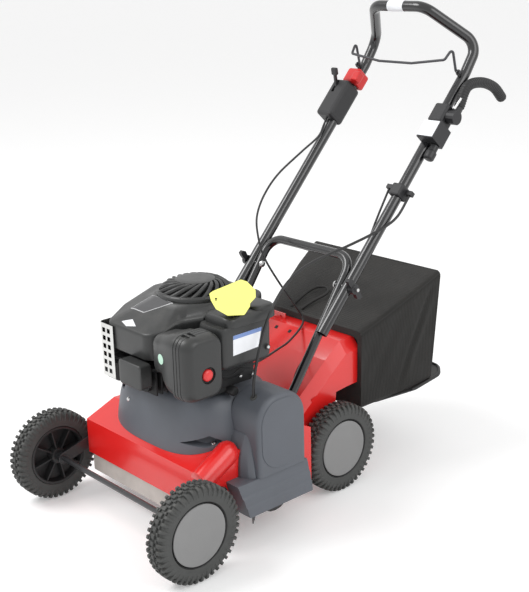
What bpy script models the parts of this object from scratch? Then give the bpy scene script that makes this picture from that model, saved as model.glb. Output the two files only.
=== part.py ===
"""Petrol lawn scarifier: a wheeled deck with a bladed rotor, an engine on a moulded
plinth, a folding handle with its controls, and a collector bag.

Metres, +Z up, the front wheels towards -Y. The origin is on the ground, in the middle
of the machine's length and width. Stations along the machine are distances back from
the front axle, and handle parts are set out along the handle's own slope.
"""
import bmesh
import bpy
from math import acos, atan2, cos, pi, radians, sin, sqrt, tan
from mathutils import Matrix, Vector

for old in list(bpy.data.objects):
    bpy.data.objects.remove(old, do_unlink=True)

# General
FRONT_AXLE_Y = -0.4537      # places the machine's middle on the origin
GAP = 0.0003                # between pieces that touch
RUN = 0.0005                # beside pieces that turn against each other
SHEET = 0.0025              # deck and chute steel

# Wheels
WHEEL_R = 0.100
WHEEL_W = 0.0458
RIM_R = 0.0663
HUB_BOSS_R = 0.018
LUG_H = 0.0045
LUG_STEPS = 20
AXLE_R = 0.006
WHEELBASE = 0.470

# Deck
DECK_HALF = 0.2054
SHOULDER_R = 0.0235         # the rolled front corner
PANEL_Y = 0.0647            # front panel, back from the front axle
PANEL_LOW = 0.0964
PANEL_TOP = 0.1752
DECK_TOP = 0.205
DECK_RISE_Y = 0.140         # where the top plate levels out
DECK_FALL_Y = 0.330
DECK_END_Y = 0.355
DECK_END_Z = 0.192
CHEEK_LOW = 0.070
CHEEK_NOSE_Y = 0.110
FRONT_TRACK_X = DECK_HALF + 0.0431      # middle of each front wheel
FLAP_DROP = 0.040
FLAP_T = 0.003

# Depth frame that carries the front axle
DEPTH_Y = 0.105
DEPTH_Z = 0.130
DEPTH_SHAFT_R = 0.007
ARM_T = 0.005
ARM_HALF = 0.013

# Chute and rear axle
CHUTE_HALF = 0.138
REAR_TRACK_X = CHUTE_HALF + 0.0341
CHUTE_CHAMFER = 0.026
CHUTE_STATIONS = ((0.3554, 0.086, 0.179), (0.440, 0.158, 0.246), (0.487, 0.209, 0.283),
                  (0.532, 0.2135, 0.3175), (0.575, 0.216, 0.3205))
AXLE_PLATE_T = 0.003

# Rotor
ROTOR_Y = 0.224
ROTOR_Z = 0.100
ROTOR_SHAFT_R = 0.011
BLADE_R = 0.087
BLADE_ROOT_R = 0.034
BLADE_T = 0.003
BLADE_COUNT = 14
BLADE_SPAN = 2 * DECK_HALF - 0.0348     # first blade to last
BLADE_TEETH = 4
BLADE_STEP_DEG = 36.0
BEARING_R = 0.026
BEARING_W = 0.009

# Belt drive
BELT_W = 0.009
BELT_T = 0.006
CRANK_PULLEY_R = 0.030      # to the middle of the belt
CRANK_PULLEY_Z = 0.244
ROTOR_PULLEY_R = 0.040
ROTOR_PULLEY_X = DECK_HALF + 0.020
IDLER_R = 0.018
IDLER_W = 0.010
IDLER_PIN_R = 0.004
PULLEY_RIM = 0.0045         # pulley flange beyond the middle of the belt

# Engine stand and plinth
ENGINE_X = 0.0
ENGINE_Y = 0.224
STAND_T = 0.004
STAND_HALF = 0.090
STAND_LEG_Y = 0.094         # legs, each side of the crankshaft
STAND_TOP = 0.2895
PLINTH_Y = 0.210
PLINTH_HALF_X = DECK_HALF - 0.0274
PLINTH_HALF_Y = 0.130
PLINTH_TOP = 0.300
PLINTH_WALL = 0.0035
PLINTH_POWER = 3.0

# Belt cover and side skirt
COVER_IN_X = DECK_HALF - 0.0214
COVER_OUT_X = DECK_HALF + 0.0406
COVER_FRONT_Y = 0.172
COVER_BACK_Y = 0.302
COVER_TOP = 0.314
COVER_WALL = 0.003
SKIRT_TOP = 0.148
SKIRT_LOW = 0.078
SKIRT_OUT_X = COVER_OUT_X + 0.012
SKIRT_FRONT_Y = 0.121
SKIRT_BACK_Y = 0.308

# Engine
CRANK_R = 0.0125
BLOCK_TOP = 0.356
HOUSING_PLAN = ((-0.090, 0.0585), (0.046, 0.0585), (0.0655, 0.088), (0.0655, 0.130),
                (0.1095, 0.168), (0.1095, 0.300), (0.070, 0.3475), (-0.120, 0.3475),
                (-0.134, 0.215), (-0.118, 0.120))
HOUSING_CORNER = 0.024
HOUSING_LOW = 0.358
HOUSING_MOUTH = 0.020       # how far the lower edge is raised at the front
HOUSING_SHOULDER = 0.432    # at the front
SHOULDER_RISE = 0.034       # to the back
HOUSING_TOP = 0.476
HOUSING_WALL = 0.0025
GRILLE_R = 0.081
GRILLE_TOP = 0.507
GRILLE_SLOTS = 12
FLYWHEEL_R = 0.066
FLYWHEEL_Z = 0.410
TANK_IN_X = 0.1018
TANK_OUT_X = 0.187
TANK_FRONT_Y = 0.139
TANK_BACK_Y = 0.272
TANK_FOOT_Y = 0.205
TANK_LOW = 0.364
TANK_SEAM = 0.452
TANK_TOP = 0.480
LID_Y = (0.156, 0.286)
CAP_R = 0.021
CAP_H = 0.020
CAP_X = 0.148
CAP_Y = 0.206
TAG_T = 0.0012
TAG_TILT = radians(25.0)
TAG_HEADING = radians(48.3)
TAG_OUTLINE = ((-0.050, 0.001), (-0.0428, -0.0055), (0.0123, -0.035), (0.0241, -0.0294), (0.0414, -0.0058),
               (0.0417, 0.0136), (0.0302, 0.0369), (0.0194, 0.0587), (-0.0133, 0.0597), (-0.0362, 0.042),
               (-0.0466, 0.0186))
CLEANER_FRONT_Y = 0.040
CLEANER_BACK_Y = 0.134
CLEANER_LOW = 0.324
CLEANER_TOP = 0.460
CLEANER_IN_X = 0.112
CLEANER_ELBOW_X = 0.0675
CLEANER_SPLIT_X = 0.150
CLEANER_OUT_X = 0.196
GUARD_Y = 0.055
GUARD_T = 0.0015
GUARD_LOW = 0.310
GUARD_TOP = 0.426
GUARD_X = (-0.116, -0.064)
ROPE_X = -0.078
ROPE_Z = 0.412
ROPE_LENGTH = 0.245
BULB_R = 0.0125
BULB_TRAVEL = 0.005

# Handle, set out along its slope from the fold bolts
FOLD_Y = 0.519
FOLD_Z = 0.4530
SLOPE = radians(47.6)
UPPER_X = 0.155
UPPER_R = 0.0125
LOWER_R = 0.010
TUBE_WALL = 0.0015
UPPER_TAIL = 0.118
LOOP_BEND_ALONG = 0.5724
LOOP_BACK = (0.948, 0.938)
LOOP_TOP = (0.852, 1.024)
LOOP_TOP_HALF = 0.076
LOWER_FOOT_Y = 0.346
LOWER_TOP_Y = 0.560
LOWER_TOP_Z = 0.508
BOLT_R = 0.004
BAIL_R = 0.003
BAIL_ALONG = LOOP_BEND_ALONG - 0.0136
BAIL_OFF = 0.0213
LOCK_ALONG = (BAIL_ALONG - 0.0503, BAIL_ALONG - 0.0108)
THROTTLE_ALONG = (LOCK_ALONG[0] - 0.1065, LOCK_ALONG[0] - 0.0035)
CLAMP_ALONG = (0.428, 0.476)            # the depth lever's bracket
SCALE_ALONG = (0.376, 0.418)            # the depth scale box
CLIP_ALONG = (0.232, 0.262)             # the cable clip
LUG_ALONG = (CLIP_ALONG[0] + 0.014, CLIP_ALONG[0] + 0.024)

# Collector bag
BAG_WALL = 0.0025
BAG_REAR_HALF = 0.206
BAG_REAR_Y = 0.773
BAG_REAR_TOP = 0.447
BAG_MOUTH_Y = 0.5675
BAG_BASE_Y = 0.802
MOUTH_GAP = 0.001

LOWER_X = UPPER_X - UPPER_R - GAP - LOWER_R

parts = bpy.data.collections.new("lawn_scarifier")
cutters = bpy.data.collections.new("cutters")
bpy.context.scene.collection.children.link(parts)
bpy.context.scene.collection.children.link(cutters)


# Placing
def st(back):
    """World Y of a station that lies this far behind the front axle."""
    return FRONT_AXLE_Y + back


def on_slope(along, off=0.0, x=0.0):
    """World point on the handle: along its slope from the fold bolts, and off it."""
    y = FOLD_Y + along * cos(SLOPE) - off * sin(SLOPE)
    return Vector((x, st(y), FOLD_Z + along * sin(SLOPE) + off * cos(SLOPE)))


# Materials
def paint(name, rgb, rough, metal=0.0):
    made = bpy.data.materials.new(name)
    made.use_nodes = True
    shader = made.node_tree.nodes["Principled BSDF"]
    shader.inputs["Base Color"].default_value = (*[(c / 255) ** 2.2 for c in rgb], 1.0)
    shader.inputs["Roughness"].default_value = rough
    shader.inputs["Metallic"].default_value = metal
    return made


RED_PAINT = paint("red_paint", (222, 38, 34), 0.35)
DARK_RED = paint("dark_red_plastic", (205, 40, 40), 0.4)
GREY_PLASTIC = paint("grey_plastic", (94, 98, 106), 0.55)
ENGINE_BLACK = paint("engine_black", (52, 53, 56), 0.5)
TUBE_BLACK = paint("tube_black", (26, 26, 28), 0.28)
CABLE_BLACK = paint("cable_black", (22, 22, 23), 0.45)
TYRE_RUBBER = paint("tyre_rubber", (70, 70, 68), 0.8)
HUB_GREY = paint("hub_grey", (134, 134, 134), 0.5)
STEEL = paint("bright_steel", (190, 190, 188), 0.35, 1.0)
CAST_ALLOY = paint("cast_alloy", (90, 90, 92), 0.6, 0.8)
FLAP_GREY = paint("flap_grey", (172, 162, 156), 0.5)
BAG_CLOTH = paint("bag_cloth", (42, 41, 38), 0.9)
TAG_YELLOW = paint("tag_yellow", (248, 246, 140), 0.6)


# Making and joining
def finish(obj, material, angle=35):
    """Give a mesh object its finish and its shading, and put it with the parts."""
    obj.data.materials.clear()
    obj.data.materials.append(material)
    obj.data.shade_smooth()
    obj.data.set_sharp_from_angle(angle=radians(angle))
    if obj.name not in parts.objects:
        parts.objects.link(obj)
    return obj


def from_bmesh(name, bm, material=None, at=(0, 0, 0)):
    """A mesh object from a bmesh drawn in world places, with its origin at a point."""
    bmesh.ops.translate(bm, verts=bm.verts, vec=-Vector(at))
    bmesh.ops.recalc_face_normals(bm, faces=bm.faces)
    mesh = bpy.data.meshes.new(name)
    bm.to_mesh(mesh)
    bm.free()
    obj = bpy.data.objects.new(name, mesh)
    obj.location = at
    return finish(obj, material) if material else obj


def baked(obj):
    """Apply an object's modifiers to its mesh."""
    if obj.name not in parts.objects:
        parts.objects.link(obj)
    bpy.context.view_layer.update()
    graph = bpy.context.evaluated_depsgraph_get()
    mesh = bpy.data.meshes.new_from_object(obj.evaluated_get(graph))
    obj.modifiers.clear()
    obj.data = mesh
    return obj


def combine(obj, tool, operation):
    """Boolean the tool into the object, keeping the tool as a hidden cutter."""
    for home in tool.users_collection:
        home.objects.unlink(tool)
    cutters.objects.link(tool)
    tool.hide_render = True
    tool.display_type = "WIRE"
    step = obj.modifiers.new(tool.name, "BOOLEAN")
    step.operation = operation
    step.solver = "EXACT"
    step.object = tool


def cut(obj, *tools):
    for tool in tools:
        combine(obj, tool, "DIFFERENCE")


def join(obj, *tools):
    for tool in tools:
        combine(obj, tool, "UNION")


def box(name, low, high, material=None, round_by=0.0, round_steps=2, at=(0, 0, 0), turn=None,
        edges="all"):
    """A box between two corners, with rounded edges, turned about its own middle."""
    low, high = Vector(low), Vector(high)
    bm = bmesh.new()
    bmesh.ops.create_cube(bm, size=1.0)
    bmesh.ops.scale(bm, vec=high - low, verts=bm.verts)
    if round_by:
        picked = [e for e in bm.edges if edges == "all"
                  or abs((e.verts[0].co - e.verts[1].co).normalized()["XYZ".index(edges)]) > 0.9]
        bmesh.ops.bevel(bm, geom=picked, offset=round_by, segments=round_steps, profile=0.5,
                        affect="EDGES", clamp_overlap=True)
    if turn:
        bmesh.ops.transform(bm, matrix=turn, verts=bm.verts)
    bmesh.ops.translate(bm, vec=(low + high) / 2, verts=bm.verts)
    return from_bmesh(name, bm, material, at)


def rod(name, start, end, radius, material=None, sides=12, at=(0, 0, 0), end_radius=None):
    """A round bar between two points."""
    start, end = Vector(start), Vector(end)
    run = end - start
    bm = bmesh.new()
    bmesh.ops.create_cone(bm, cap_ends=True, segments=sides, radius1=radius,
                          radius2=radius if end_radius is None else end_radius,
                          depth=run.length)
    turn = Vector((0, 0, 1)).rotation_difference(run).to_matrix().to_4x4()
    place = Matrix.Translation((start + end) / 2) @ turn
    bmesh.ops.transform(bm, matrix=place, verts=bm.verts)
    return from_bmesh(name, bm, material, at)


AXIS_TURN = {"Z": (0, 0, 0), "X": (0, pi / 2, 0), "-X": (0, -pi / 2, 0), "Y": (-pi / 2, 0, 0),
             "-Y": (pi / 2, 0, 0)}


def turned(name, profile, at, axis="Z", steps=24, material=None, closed=False):
    """A turned piece: (radius, height) points down its outer side, round an axis."""
    mesh = bpy.data.meshes.new(name)
    count = len(profile)
    runs = [(i, i + 1) for i in range(count - 1)] + ([(count - 1, 0)] if closed else [])
    mesh.from_pydata([(r, 0, h) for r, h in profile], runs, [])
    obj = bpy.data.objects.new(name, mesh)
    obj.location = at
    obj.rotation_euler = AXIS_TURN[axis]
    screw = obj.modifiers.new("turned", "SCREW")
    screw.steps = screw.render_steps = steps
    screw.use_merge_vertices = True
    screw.merge_threshold = 0.00001
    screw.use_smooth_shade = False
    baked(obj)
    return finish(obj, material) if material else obj


def outline_plate(name, outline, low, high, axis="X", material=None, at=(0, 0, 0)):
    """A flat outline drawn across an axis and given its thickness along it."""
    curve = bpy.data.curves.new(name, "CURVE")
    curve.dimensions = "2D"
    curve.fill_mode = "BOTH"
    curve.extrude = (high - low) / 2
    line = curve.splines.new("POLY")
    line.points.add(len(outline) - 1)
    for point, (a, b) in zip(line.points, outline):
        point.co = (a, b, 0, 1)
    line.use_cyclic_u = True
    drawn = bpy.data.objects.new(name + "_outline", curve)
    cutters.objects.link(drawn)
    bpy.context.view_layer.update()
    graph = bpy.context.evaluated_depsgraph_get()
    mesh = bpy.data.meshes.new_from_object(drawn.evaluated_get(graph))
    bpy.data.objects.remove(drawn, do_unlink=True)
    bm = bmesh.new()
    bm.from_mesh(mesh)
    bmesh.ops.remove_doubles(bm, verts=bm.verts, dist=0.000001)
    middle = (low + high) / 2
    stand = {"X": Matrix(((0, 0, 1, middle), (1, 0, 0, 0), (0, 1, 0, 0), (0, 0, 0, 1))),
             "Y": Matrix(((1, 0, 0, 0), (0, 0, 1, middle), (0, 1, 0, 0), (0, 0, 0, 1))),
             "Z": Matrix(((1, 0, 0, 0), (0, 1, 0, 0), (0, 0, 1, middle), (0, 0, 0, 1)))}
    bmesh.ops.transform(bm, matrix=stand[axis], verts=bm.verts)
    return from_bmesh(name, bm, material, at)


def rounded(points, radius, steps=3, closed=False):
    """Points of a route with each inner corner rounded by an arc."""
    points = [Vector(p) for p in points]
    count = len(points)
    route = [] if closed else [points[0]]
    for i in range(count) if closed else range(1, count - 1):
        before, corner, after = points[i - 1], points[i], points[(i + 1) % count]
        a, b = (before - corner).normalized(), (after - corner).normalized()
        half = acos(max(-1.0, min(1.0, a.dot(b)))) / 2
        reach = min(radius / tan(half), 0.45 * (before - corner).length,
                    0.45 * (after - corner).length)
        bend = reach * tan(half)
        centre = corner + (a + b).normalized() * (bend / sin(half))
        first, last = corner + a * reach - centre, corner + b * reach - centre
        for k in range(steps + 1):
            route.append(centre + first.normalized().slerp(last.normalized(), k / steps) * bend)
    return route if closed else route + [points[-1]]


def smooth_route(points, per_span):
    """Points read from one smooth curve through a route's own points."""
    points = [Vector(p) for p in points]
    padded = [2 * points[0] - points[1]] + points + [2 * points[-1] - points[-2]]
    route = []
    for i in range(1, len(padded) - 2):
        p0, p1, p2, p3 = padded[i - 1:i + 3]
        for k in range(per_span):
            t = k / per_span
            route.append(0.5 * (2 * p1 + (p2 - p0) * t + (2 * p0 - 5 * p1 + 4 * p2 - p3) * t * t
                                + (3 * p1 - p0 - 3 * p2 + p3) * t ** 3))
    return route + [points[-1]]


def tube(name, route, radius, material=None, fineness=2, wall=0.0, at=(0, 0, 0)):
    """A round tube, wire or cable along a route; a wall makes it a hollow tube."""
    curve = bpy.data.curves.new(name, "CURVE")
    curve.dimensions = "3D"
    curve.bevel_depth = radius
    curve.bevel_resolution = fineness
    curve.use_fill_caps = wall == 0.0
    line = curve.splines.new("POLY")
    line.points.add(len(route) - 1)
    for point, place in zip(line.points, route):
        point.co = (*place, 1)
    drawn = bpy.data.objects.new(name + "_route", curve)
    cutters.objects.link(drawn)
    bpy.context.view_layer.update()
    graph = bpy.context.evaluated_depsgraph_get()
    mesh = bpy.data.meshes.new_from_object(drawn.evaluated_get(graph))
    bpy.data.objects.remove(drawn, do_unlink=True)
    bm = bmesh.new()
    bm.from_mesh(mesh)
    bmesh.ops.remove_doubles(bm, verts=bm.verts, dist=0.000001)
    obj = from_bmesh(name, bm, None, at)
    if wall:
        shell = obj.modifiers.new("wall", "SOLIDIFY")
        shell.thickness = wall
        shell.offset = -1
        shell.use_even_offset = True
        baked(obj)
    return finish(obj, material) if material else obj


def loft(name, rings, material=None, at=(0, 0, 0), cap_low=True, cap_high=True):
    """A skin through rings of equal point counts, with flat caps where asked."""
    bm = bmesh.new()
    rows = [[bm.verts.new(p) for p in ring] for ring in rings]
    count = len(rows[0])
    for low, high in zip(rows, rows[1:]):
        for i in range(count):
            j = (i + 1) % count
            bm.faces.new((low[i], low[j], high[j], high[i]))
    if cap_low:
        bm.faces.new(rows[0][::-1])
    if cap_high:
        bm.faces.new(rows[-1])
    return from_bmesh(name, bm, material, at)


def squircle(centre, half_x, half_y, z, power, count):
    """A level ring between an ellipse and a rectangle, squarer as the power rises."""
    ring = []
    for i in range(count):
        angle = 2 * pi * (i + 0.5) / count
        c, s = cos(angle), sin(angle)
        reach = (abs(c) ** power + abs(s) ** power) ** (-1 / power)
        ring.append((centre[0] + half_x * reach * c, centre[1] + half_y * reach * s, z))
    return ring


def hollow(obj, wall, offset=-1):
    """Turn an open skin into a wall of even thickness."""
    shell = obj.modifiers.new("wall", "SOLIDIFY")
    shell.thickness = wall
    shell.offset = offset
    shell.use_even_offset = True
    return baked(obj)


# Wheels: a knobbly tyre on a hub with a closed outer disc
def knobbly_tyre(name, centre):
    """A tyre turned from its section, with staggered lugs drawn out of the tread."""
    half = WHEEL_W / 2
    bead = RIM_R + GAP
    body = WHEEL_R - LUG_H
    section = [(-half * 0.84, bead), (-half, bead + 0.010), (-half * 0.93, body - 0.006),
               (-half * 0.66, body - 0.001), (-half * 0.26, body), (half * 0.26, body),
               (half * 0.66, body - 0.001), (half * 0.93, body - 0.006), (half, bead + 0.010),
               (half * 0.84, bead)]
    shoulder_left, centre_row, shoulder_right = 3, 4, 5
    bm = bmesh.new()
    rows = []
    for i in range(LUG_STEPS):
        angle = 2 * pi * i / LUG_STEPS
        rows.append([bm.verts.new((x, r * cos(angle), r * sin(angle))) for x, r in section])
    lugs = []
    for i in range(LUG_STEPS):
        here, there = rows[i], rows[(i + 1) % LUG_STEPS]
        for k in range(len(section)):
            m = (k + 1) % len(section)
            face = bm.faces.new((here[k], here[m], there[m], there[k]))
            outer = k in (shoulder_left, shoulder_right) and i % 2 == 0
            if outer or (k == centre_row and i % 2 == 1):
                lugs.append(face)
    bmesh.ops.recalc_face_normals(bm, faces=bm.faces)
    for face in lugs:
        top = bmesh.ops.extrude_discrete_faces(bm, faces=[face])["faces"][0]
        middle = top.calc_center_median()
        out = Vector((0, middle.y, middle.z)).normalized()
        for vert in top.verts:
            vert.co = middle + (vert.co - middle) * 0.70
            radial = Vector((0, vert.co.y, vert.co.z))
            vert.co += out * (WHEEL_R - radial.length)
    bmesh.ops.translate(bm, verts=bm.verts, vec=centre)
    return from_bmesh(name, bm, TYRE_RUBBER, centre)


def wheel(name, centre, side):
    """Tyre and hub; the hub's closed disc faces outwards and its bore faces in."""
    knobbly_tyre(name + "_tyre", centre)
    half = WHEEL_W / 2
    disc, rim_in = half - 0.002, RIM_R - 0.006
    bore = AXLE_R + GAP
    profile = [(0, disc), (RIM_R, disc), (RIM_R, -disc), (rim_in, -disc), (rim_in - 0.003, 0.004),
               (HUB_BOSS_R, 0.004), (HUB_BOSS_R, -half + 0.0005), (bore, -half + 0.0005),
               (bore, 0.012), (0, 0.012)]
    turned(name + "_hub", profile, centre, "X" if side > 0 else "-X", LUG_STEPS, HUB_GREY)


wheel("front_left", Vector((FRONT_TRACK_X, st(0), WHEEL_R)), 1)
wheel("front_right", Vector((-FRONT_TRACK_X, st(0), WHEEL_R)), -1)
wheel("rear_left", Vector((REAR_TRACK_X, st(WHEELBASE), WHEEL_R)), 1)
wheel("rear_right", Vector((-REAR_TRACK_X, st(WHEELBASE), WHEEL_R)), -1)

# Depth frame: the front axle rod on two arms that are welded to a cross shaft
hub_inner = WHEEL_W / 2 - 0.0005
axle_end = FRONT_TRACK_X + 0.0115
arm_in = DECK_HALF + RUN
arm_out = arm_in + ARM_T
depth_axis = Vector((0, st(DEPTH_Y), DEPTH_Z))
front_axle = rod("front_axle", (-axle_end, st(0), WHEEL_R), (axle_end, st(0), WHEEL_R), AXLE_R,
                 sides=12, at=depth_axis)
shaft = rod("depth_shaft", (-arm_out + 0.001, depth_axis.y, DEPTH_Z),
            (arm_out - 0.001, depth_axis.y, DEPTH_Z), DEPTH_SHAFT_R)
arm_run = Vector((DEPTH_Y, DEPTH_Z - WHEEL_R))
arm_lean = atan2(arm_run.y, arm_run.x)
arm_shape = []
for end, y, z in ((1, st(0), WHEEL_R), (-1, depth_axis.y, DEPTH_Z)):
    for k in range(7):
        turn_by = arm_lean + pi * k / 6
        arm_shape.append((y - end * ARM_HALF * sin(turn_by), z + end * ARM_HALF * cos(turn_by)))
join(front_axle, shaft)
for side in (1, -1):
    low, high = sorted((side * arm_in, side * arm_out))
    join(front_axle, outline_plate(f"depth_arm_{side}", arm_shape, low, high))
    collar_end = side * (FRONT_TRACK_X - hub_inner - GAP)
    join(front_axle, rod(f"axle_collar_{side}", (side * (arm_out - 0.001), st(0), WHEEL_R),
                         (collar_end, st(0), WHEEL_R), 0.010))
baked(front_axle)
finish(front_axle, TUBE_BLACK)

# Deck: folded steel, open below, with the engine stand and the idler bracket welded on
skin_line = [(PANEL_Y, PANEL_LOW), (PANEL_Y, PANEL_TOP), (DECK_RISE_Y, DECK_TOP),
             (DECK_FALL_Y, DECK_TOP), (DECK_END_Y, DECK_END_Z), (DECK_END_Y, CHEEK_LOW)]
bm = bmesh.new()
left = [bm.verts.new((-DECK_HALF, st(y), z)) for y, z in skin_line]
right = [bm.verts.new((DECK_HALF, st(y), z)) for y, z in skin_line]
for i in range(len(skin_line) - 1):
    bm.faces.new((left[i], left[i + 1], right[i + 1], right[i]))
for row, x in ((left, -DECK_HALF), (right, DECK_HALF)):
    nose = bm.verts.new((x, st(CHEEK_NOSE_Y), CHEEK_LOW))
    bm.faces.new(row + [nose])
deck = hollow(from_bmesh("deck", bm), SHEET)

chute_z = CHUTE_STATIONS[0]
cut(deck, box("chute_mouth_cut", (-CHUTE_HALF + SHEET, st(DECK_END_Y) - 0.01, chute_z[1] + SHEET),
              (CHUTE_HALF - SHEET, st(DECK_END_Y) + 0.01, chute_z[2] - SHEET)))
cut(deck, rod("depth_shaft_cut", (-arm_out, depth_axis.y, DEPTH_Z), (arm_out, depth_axis.y, DEPTH_Z),
              DEPTH_SHAFT_R + RUN))
cut(deck, rod("rotor_shaft_cut", (-arm_out, st(ROTOR_Y), ROTOR_Z), (arm_out, st(ROTOR_Y), ROTOR_Z),
              ROTOR_SHAFT_R + 0.001, sides=16))

stand_low = DECK_TOP - SHEET / 2
stand_line = [(ENGINE_Y - STAND_LEG_Y, stand_low), (ENGINE_Y - STAND_LEG_Y + 0.012, STAND_TOP),
              (ENGINE_Y + STAND_LEG_Y - 0.012, STAND_TOP), (ENGINE_Y + STAND_LEG_Y, stand_low)]
stand_inner = [(ENGINE_Y + STAND_LEG_Y - STAND_T, stand_low),
               (ENGINE_Y + STAND_LEG_Y - 0.012 - STAND_T, STAND_TOP - STAND_T),
               (ENGINE_Y - STAND_LEG_Y + 0.012 + STAND_T, STAND_TOP - STAND_T),
               (ENGINE_Y - STAND_LEG_Y + STAND_T, stand_low)]
stand = outline_plate("engine_stand", [(st(y), z) for y, z in stand_line + stand_inner],
                      ENGINE_X - STAND_HALF, ENGINE_X + STAND_HALF)
cut(stand, rod("crank_cut", (ENGINE_X, st(ENGINE_Y), STAND_TOP - 0.02),
               (ENGINE_X, st(ENGINE_Y), STAND_TOP + 0.01), CRANK_R + 0.002, sides=16))
join(deck, baked(stand))

idler_x = ROTOR_PULLEY_X - IDLER_R
idler_z = CRANK_PULLEY_Z - IDLER_R
idler_reach = ROTOR_PULLEY_R + IDLER_W / 2
bracket_half = ROTOR_PULLEY_R - IDLER_W / 2 - RUN
join(deck, box("idler_bracket", (idler_x - 0.007, st(ROTOR_Y) - bracket_half, DECK_TOP - 0.001),
               (idler_x - 0.0, st(ROTOR_Y) + bracket_half, idler_z + 0.006)))
join(deck, rod("idler_pin", (idler_x, st(ROTOR_Y) - idler_reach - RUN, idler_z),
               (idler_x, st(ROTOR_Y) + idler_reach + RUN, idler_z), IDLER_PIN_R, sides=10))

# The deck's near front corner rolls up into a round shoulder
shoulder_x = DECK_HALF - SHOULDER_R + 0.0055


def shoulder_rings(radius):
    rings = []
    for back, lift, size in ((PANEL_Y + 0.002, PANEL_TOP - 0.018, 1.0), (0.136, DECK_TOP - 0.008, 1.0),
                             (0.150, DECK_TOP - 0.003, 0.86), (0.158, DECK_TOP, 0.45)):
        rings.append([(shoulder_x + radius * size * cos(2 * pi * k / 14),
                       st(back) - 0.3 * radius * size * sin(2 * pi * k / 14),
                       lift + radius * size * sin(2 * pi * k / 14)) for k in range(14)])
    return rings


join(deck, loft("deck_shoulder", shoulder_rings(SHOULDER_R)))

# Brackets that take the feet of the lower handle
for side in (1, -1):
    middle = side * LOWER_X
    bracket = box(f"foot_bracket_{side}", (middle - 0.016, st(0.3345), DECK_END_Z + 0.004),
                  (middle + 0.016, st(0.375), DECK_TOP + 0.030), round_by=0.006, edges="X")
    join(deck, bracket)
foot = Vector((0, st(LOWER_FOOT_Y), DECK_TOP + 0.003))
lower_lean = (Vector((0, st(FOLD_Y), FOLD_Z)) - foot).normalized()
for side in (1, -1):
    aside = Vector((side * LOWER_X, 0, 0))
    cut(deck, rod(f"foot_socket_{side}", foot + aside, foot + aside + lower_lean * 0.06,
                  LOWER_R + 0.0008, sides=12))
baked(deck)
finish(deck, RED_PAINT)

# Flap: a strip hung under the front panel
flap_y = st(PANEL_Y) + SHEET + GAP
box("front_flap", (-DECK_HALF + 0.012, flap_y, PANEL_LOW - FLAP_DROP),
    (DECK_HALF - 0.012, flap_y + FLAP_T, PANEL_LOW + 0.016), FLAP_GREY)

# Chute: the duct from the deck up to the bag, with side plates that hold the rear axle
rings = []
for back, low, high in CHUTE_STATIONS:
    drop = min(CHUTE_CHAMFER, (high - low) * 0.35)
    inward = drop * 0.8
    rings.append([(-CHUTE_HALF, st(back), low), (CHUTE_HALF, st(back), low),
                  (CHUTE_HALF, st(back), high - drop), (CHUTE_HALF - inward, st(back), high),
                  (-CHUTE_HALF + inward, st(back), high), (-CHUTE_HALF, st(back), high - drop)])
chute = hollow(loft("chute", rings, cap_low=False, cap_high=False), SHEET)
for side in (1, -1):
    low, high = sorted((side * (CHUTE_HALF - AXLE_PLATE_T), side * CHUTE_HALF))
    plate = outline_plate(f"axle_plate_{side}",
                          [(st(0.415), 0.150), (st(0.425), 0.215), (st(0.487), 0.235),
                           (st(0.560), 0.245), (st(0.560), 0.2165), (st(0.500), 0.210),
                           (st(WHEELBASE) + 0.020, 0.088), (st(WHEELBASE), 0.080),
                           (st(WHEELBASE) - 0.020, 0.088)], low, high)
    join(chute, plate)
ledge_low, ledge_high = CHUTE_STATIONS[3][2] - 0.006, CHUTE_STATIONS[3][2] + 0.016
ledge = box("cable_ledge", (-CHUTE_HALF + 0.004, st(0.548), ledge_low),
            (-CHUTE_HALF + 0.062, st(0.5505), ledge_high))
for k in (0.018, 0.044):
    cut(ledge, box(f"ledge_hole_{k}", (-CHUTE_HALF + k, st(0.54), ledge_high - 0.012),
                   (-CHUTE_HALF + k + 0.006, st(0.56), ledge_high - 0.006)))
join(chute, baked(ledge))
cut(chute, box("chute_front_trim", (-0.2, st(0.30), 0.0), (0.2, st(DECK_END_Y) + GAP, 0.25)))
cut(chute, rod("rear_axle_cut", (-0.2, st(WHEELBASE), WHEEL_R), (0.2, st(WHEELBASE), WHEEL_R),
               AXLE_R + GAP, sides=12))
baked(chute)
finish(chute, RED_PAINT)

rear_end = REAR_TRACK_X + 0.0115
rod("rear_axle", (-rear_end, st(WHEELBASE), WHEEL_R), (rear_end, st(WHEELBASE), WHEEL_R), AXLE_R,
    TUBE_BLACK, sides=12, at=(0, st(WHEELBASE), WHEEL_R))


# Rotor: toothed blades along one shaft, in flanged bearings
def blade_outline(turn_by):
    """A blade's four hooked teeth, as points (y, z) round the shaft."""
    points = []
    for tooth in range(BLADE_TEETH):
        base = turn_by + tooth * 2 * pi / BLADE_TEETH
        for angle, radius in ((-0.42, BLADE_ROOT_R), (0.16, BLADE_R), (0.24, BLADE_R * 0.60)):
            points.append((st(ROTOR_Y) + radius * cos(base + angle),
                           ROTOR_Z + radius * sin(base + angle)))
    return points


rotor_axis = Vector((0, st(ROTOR_Y), ROTOR_Z))
rotor_end = ROTOR_PULLEY_X + 0.010
rotor = rod("rotor", (-DECK_HALF - BEARING_W, rotor_axis.y, ROTOR_Z),
            (rotor_end, rotor_axis.y, ROTOR_Z), ROTOR_SHAFT_R, sides=12, at=rotor_axis)
for i in range(BLADE_COUNT):
    middle = -BLADE_SPAN / 2 + BLADE_SPAN * i / (BLADE_COUNT - 1)
    turn_by = radians(-105.0 - 9.2 - BLADE_STEP_DEG * (BLADE_COUNT - 1 - i))
    join(rotor, outline_plate(f"blade_{i:02d}", blade_outline(turn_by), middle - BLADE_T / 2,
                              middle + BLADE_T / 2))
baked(rotor)
finish(rotor, STEEL)

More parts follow.
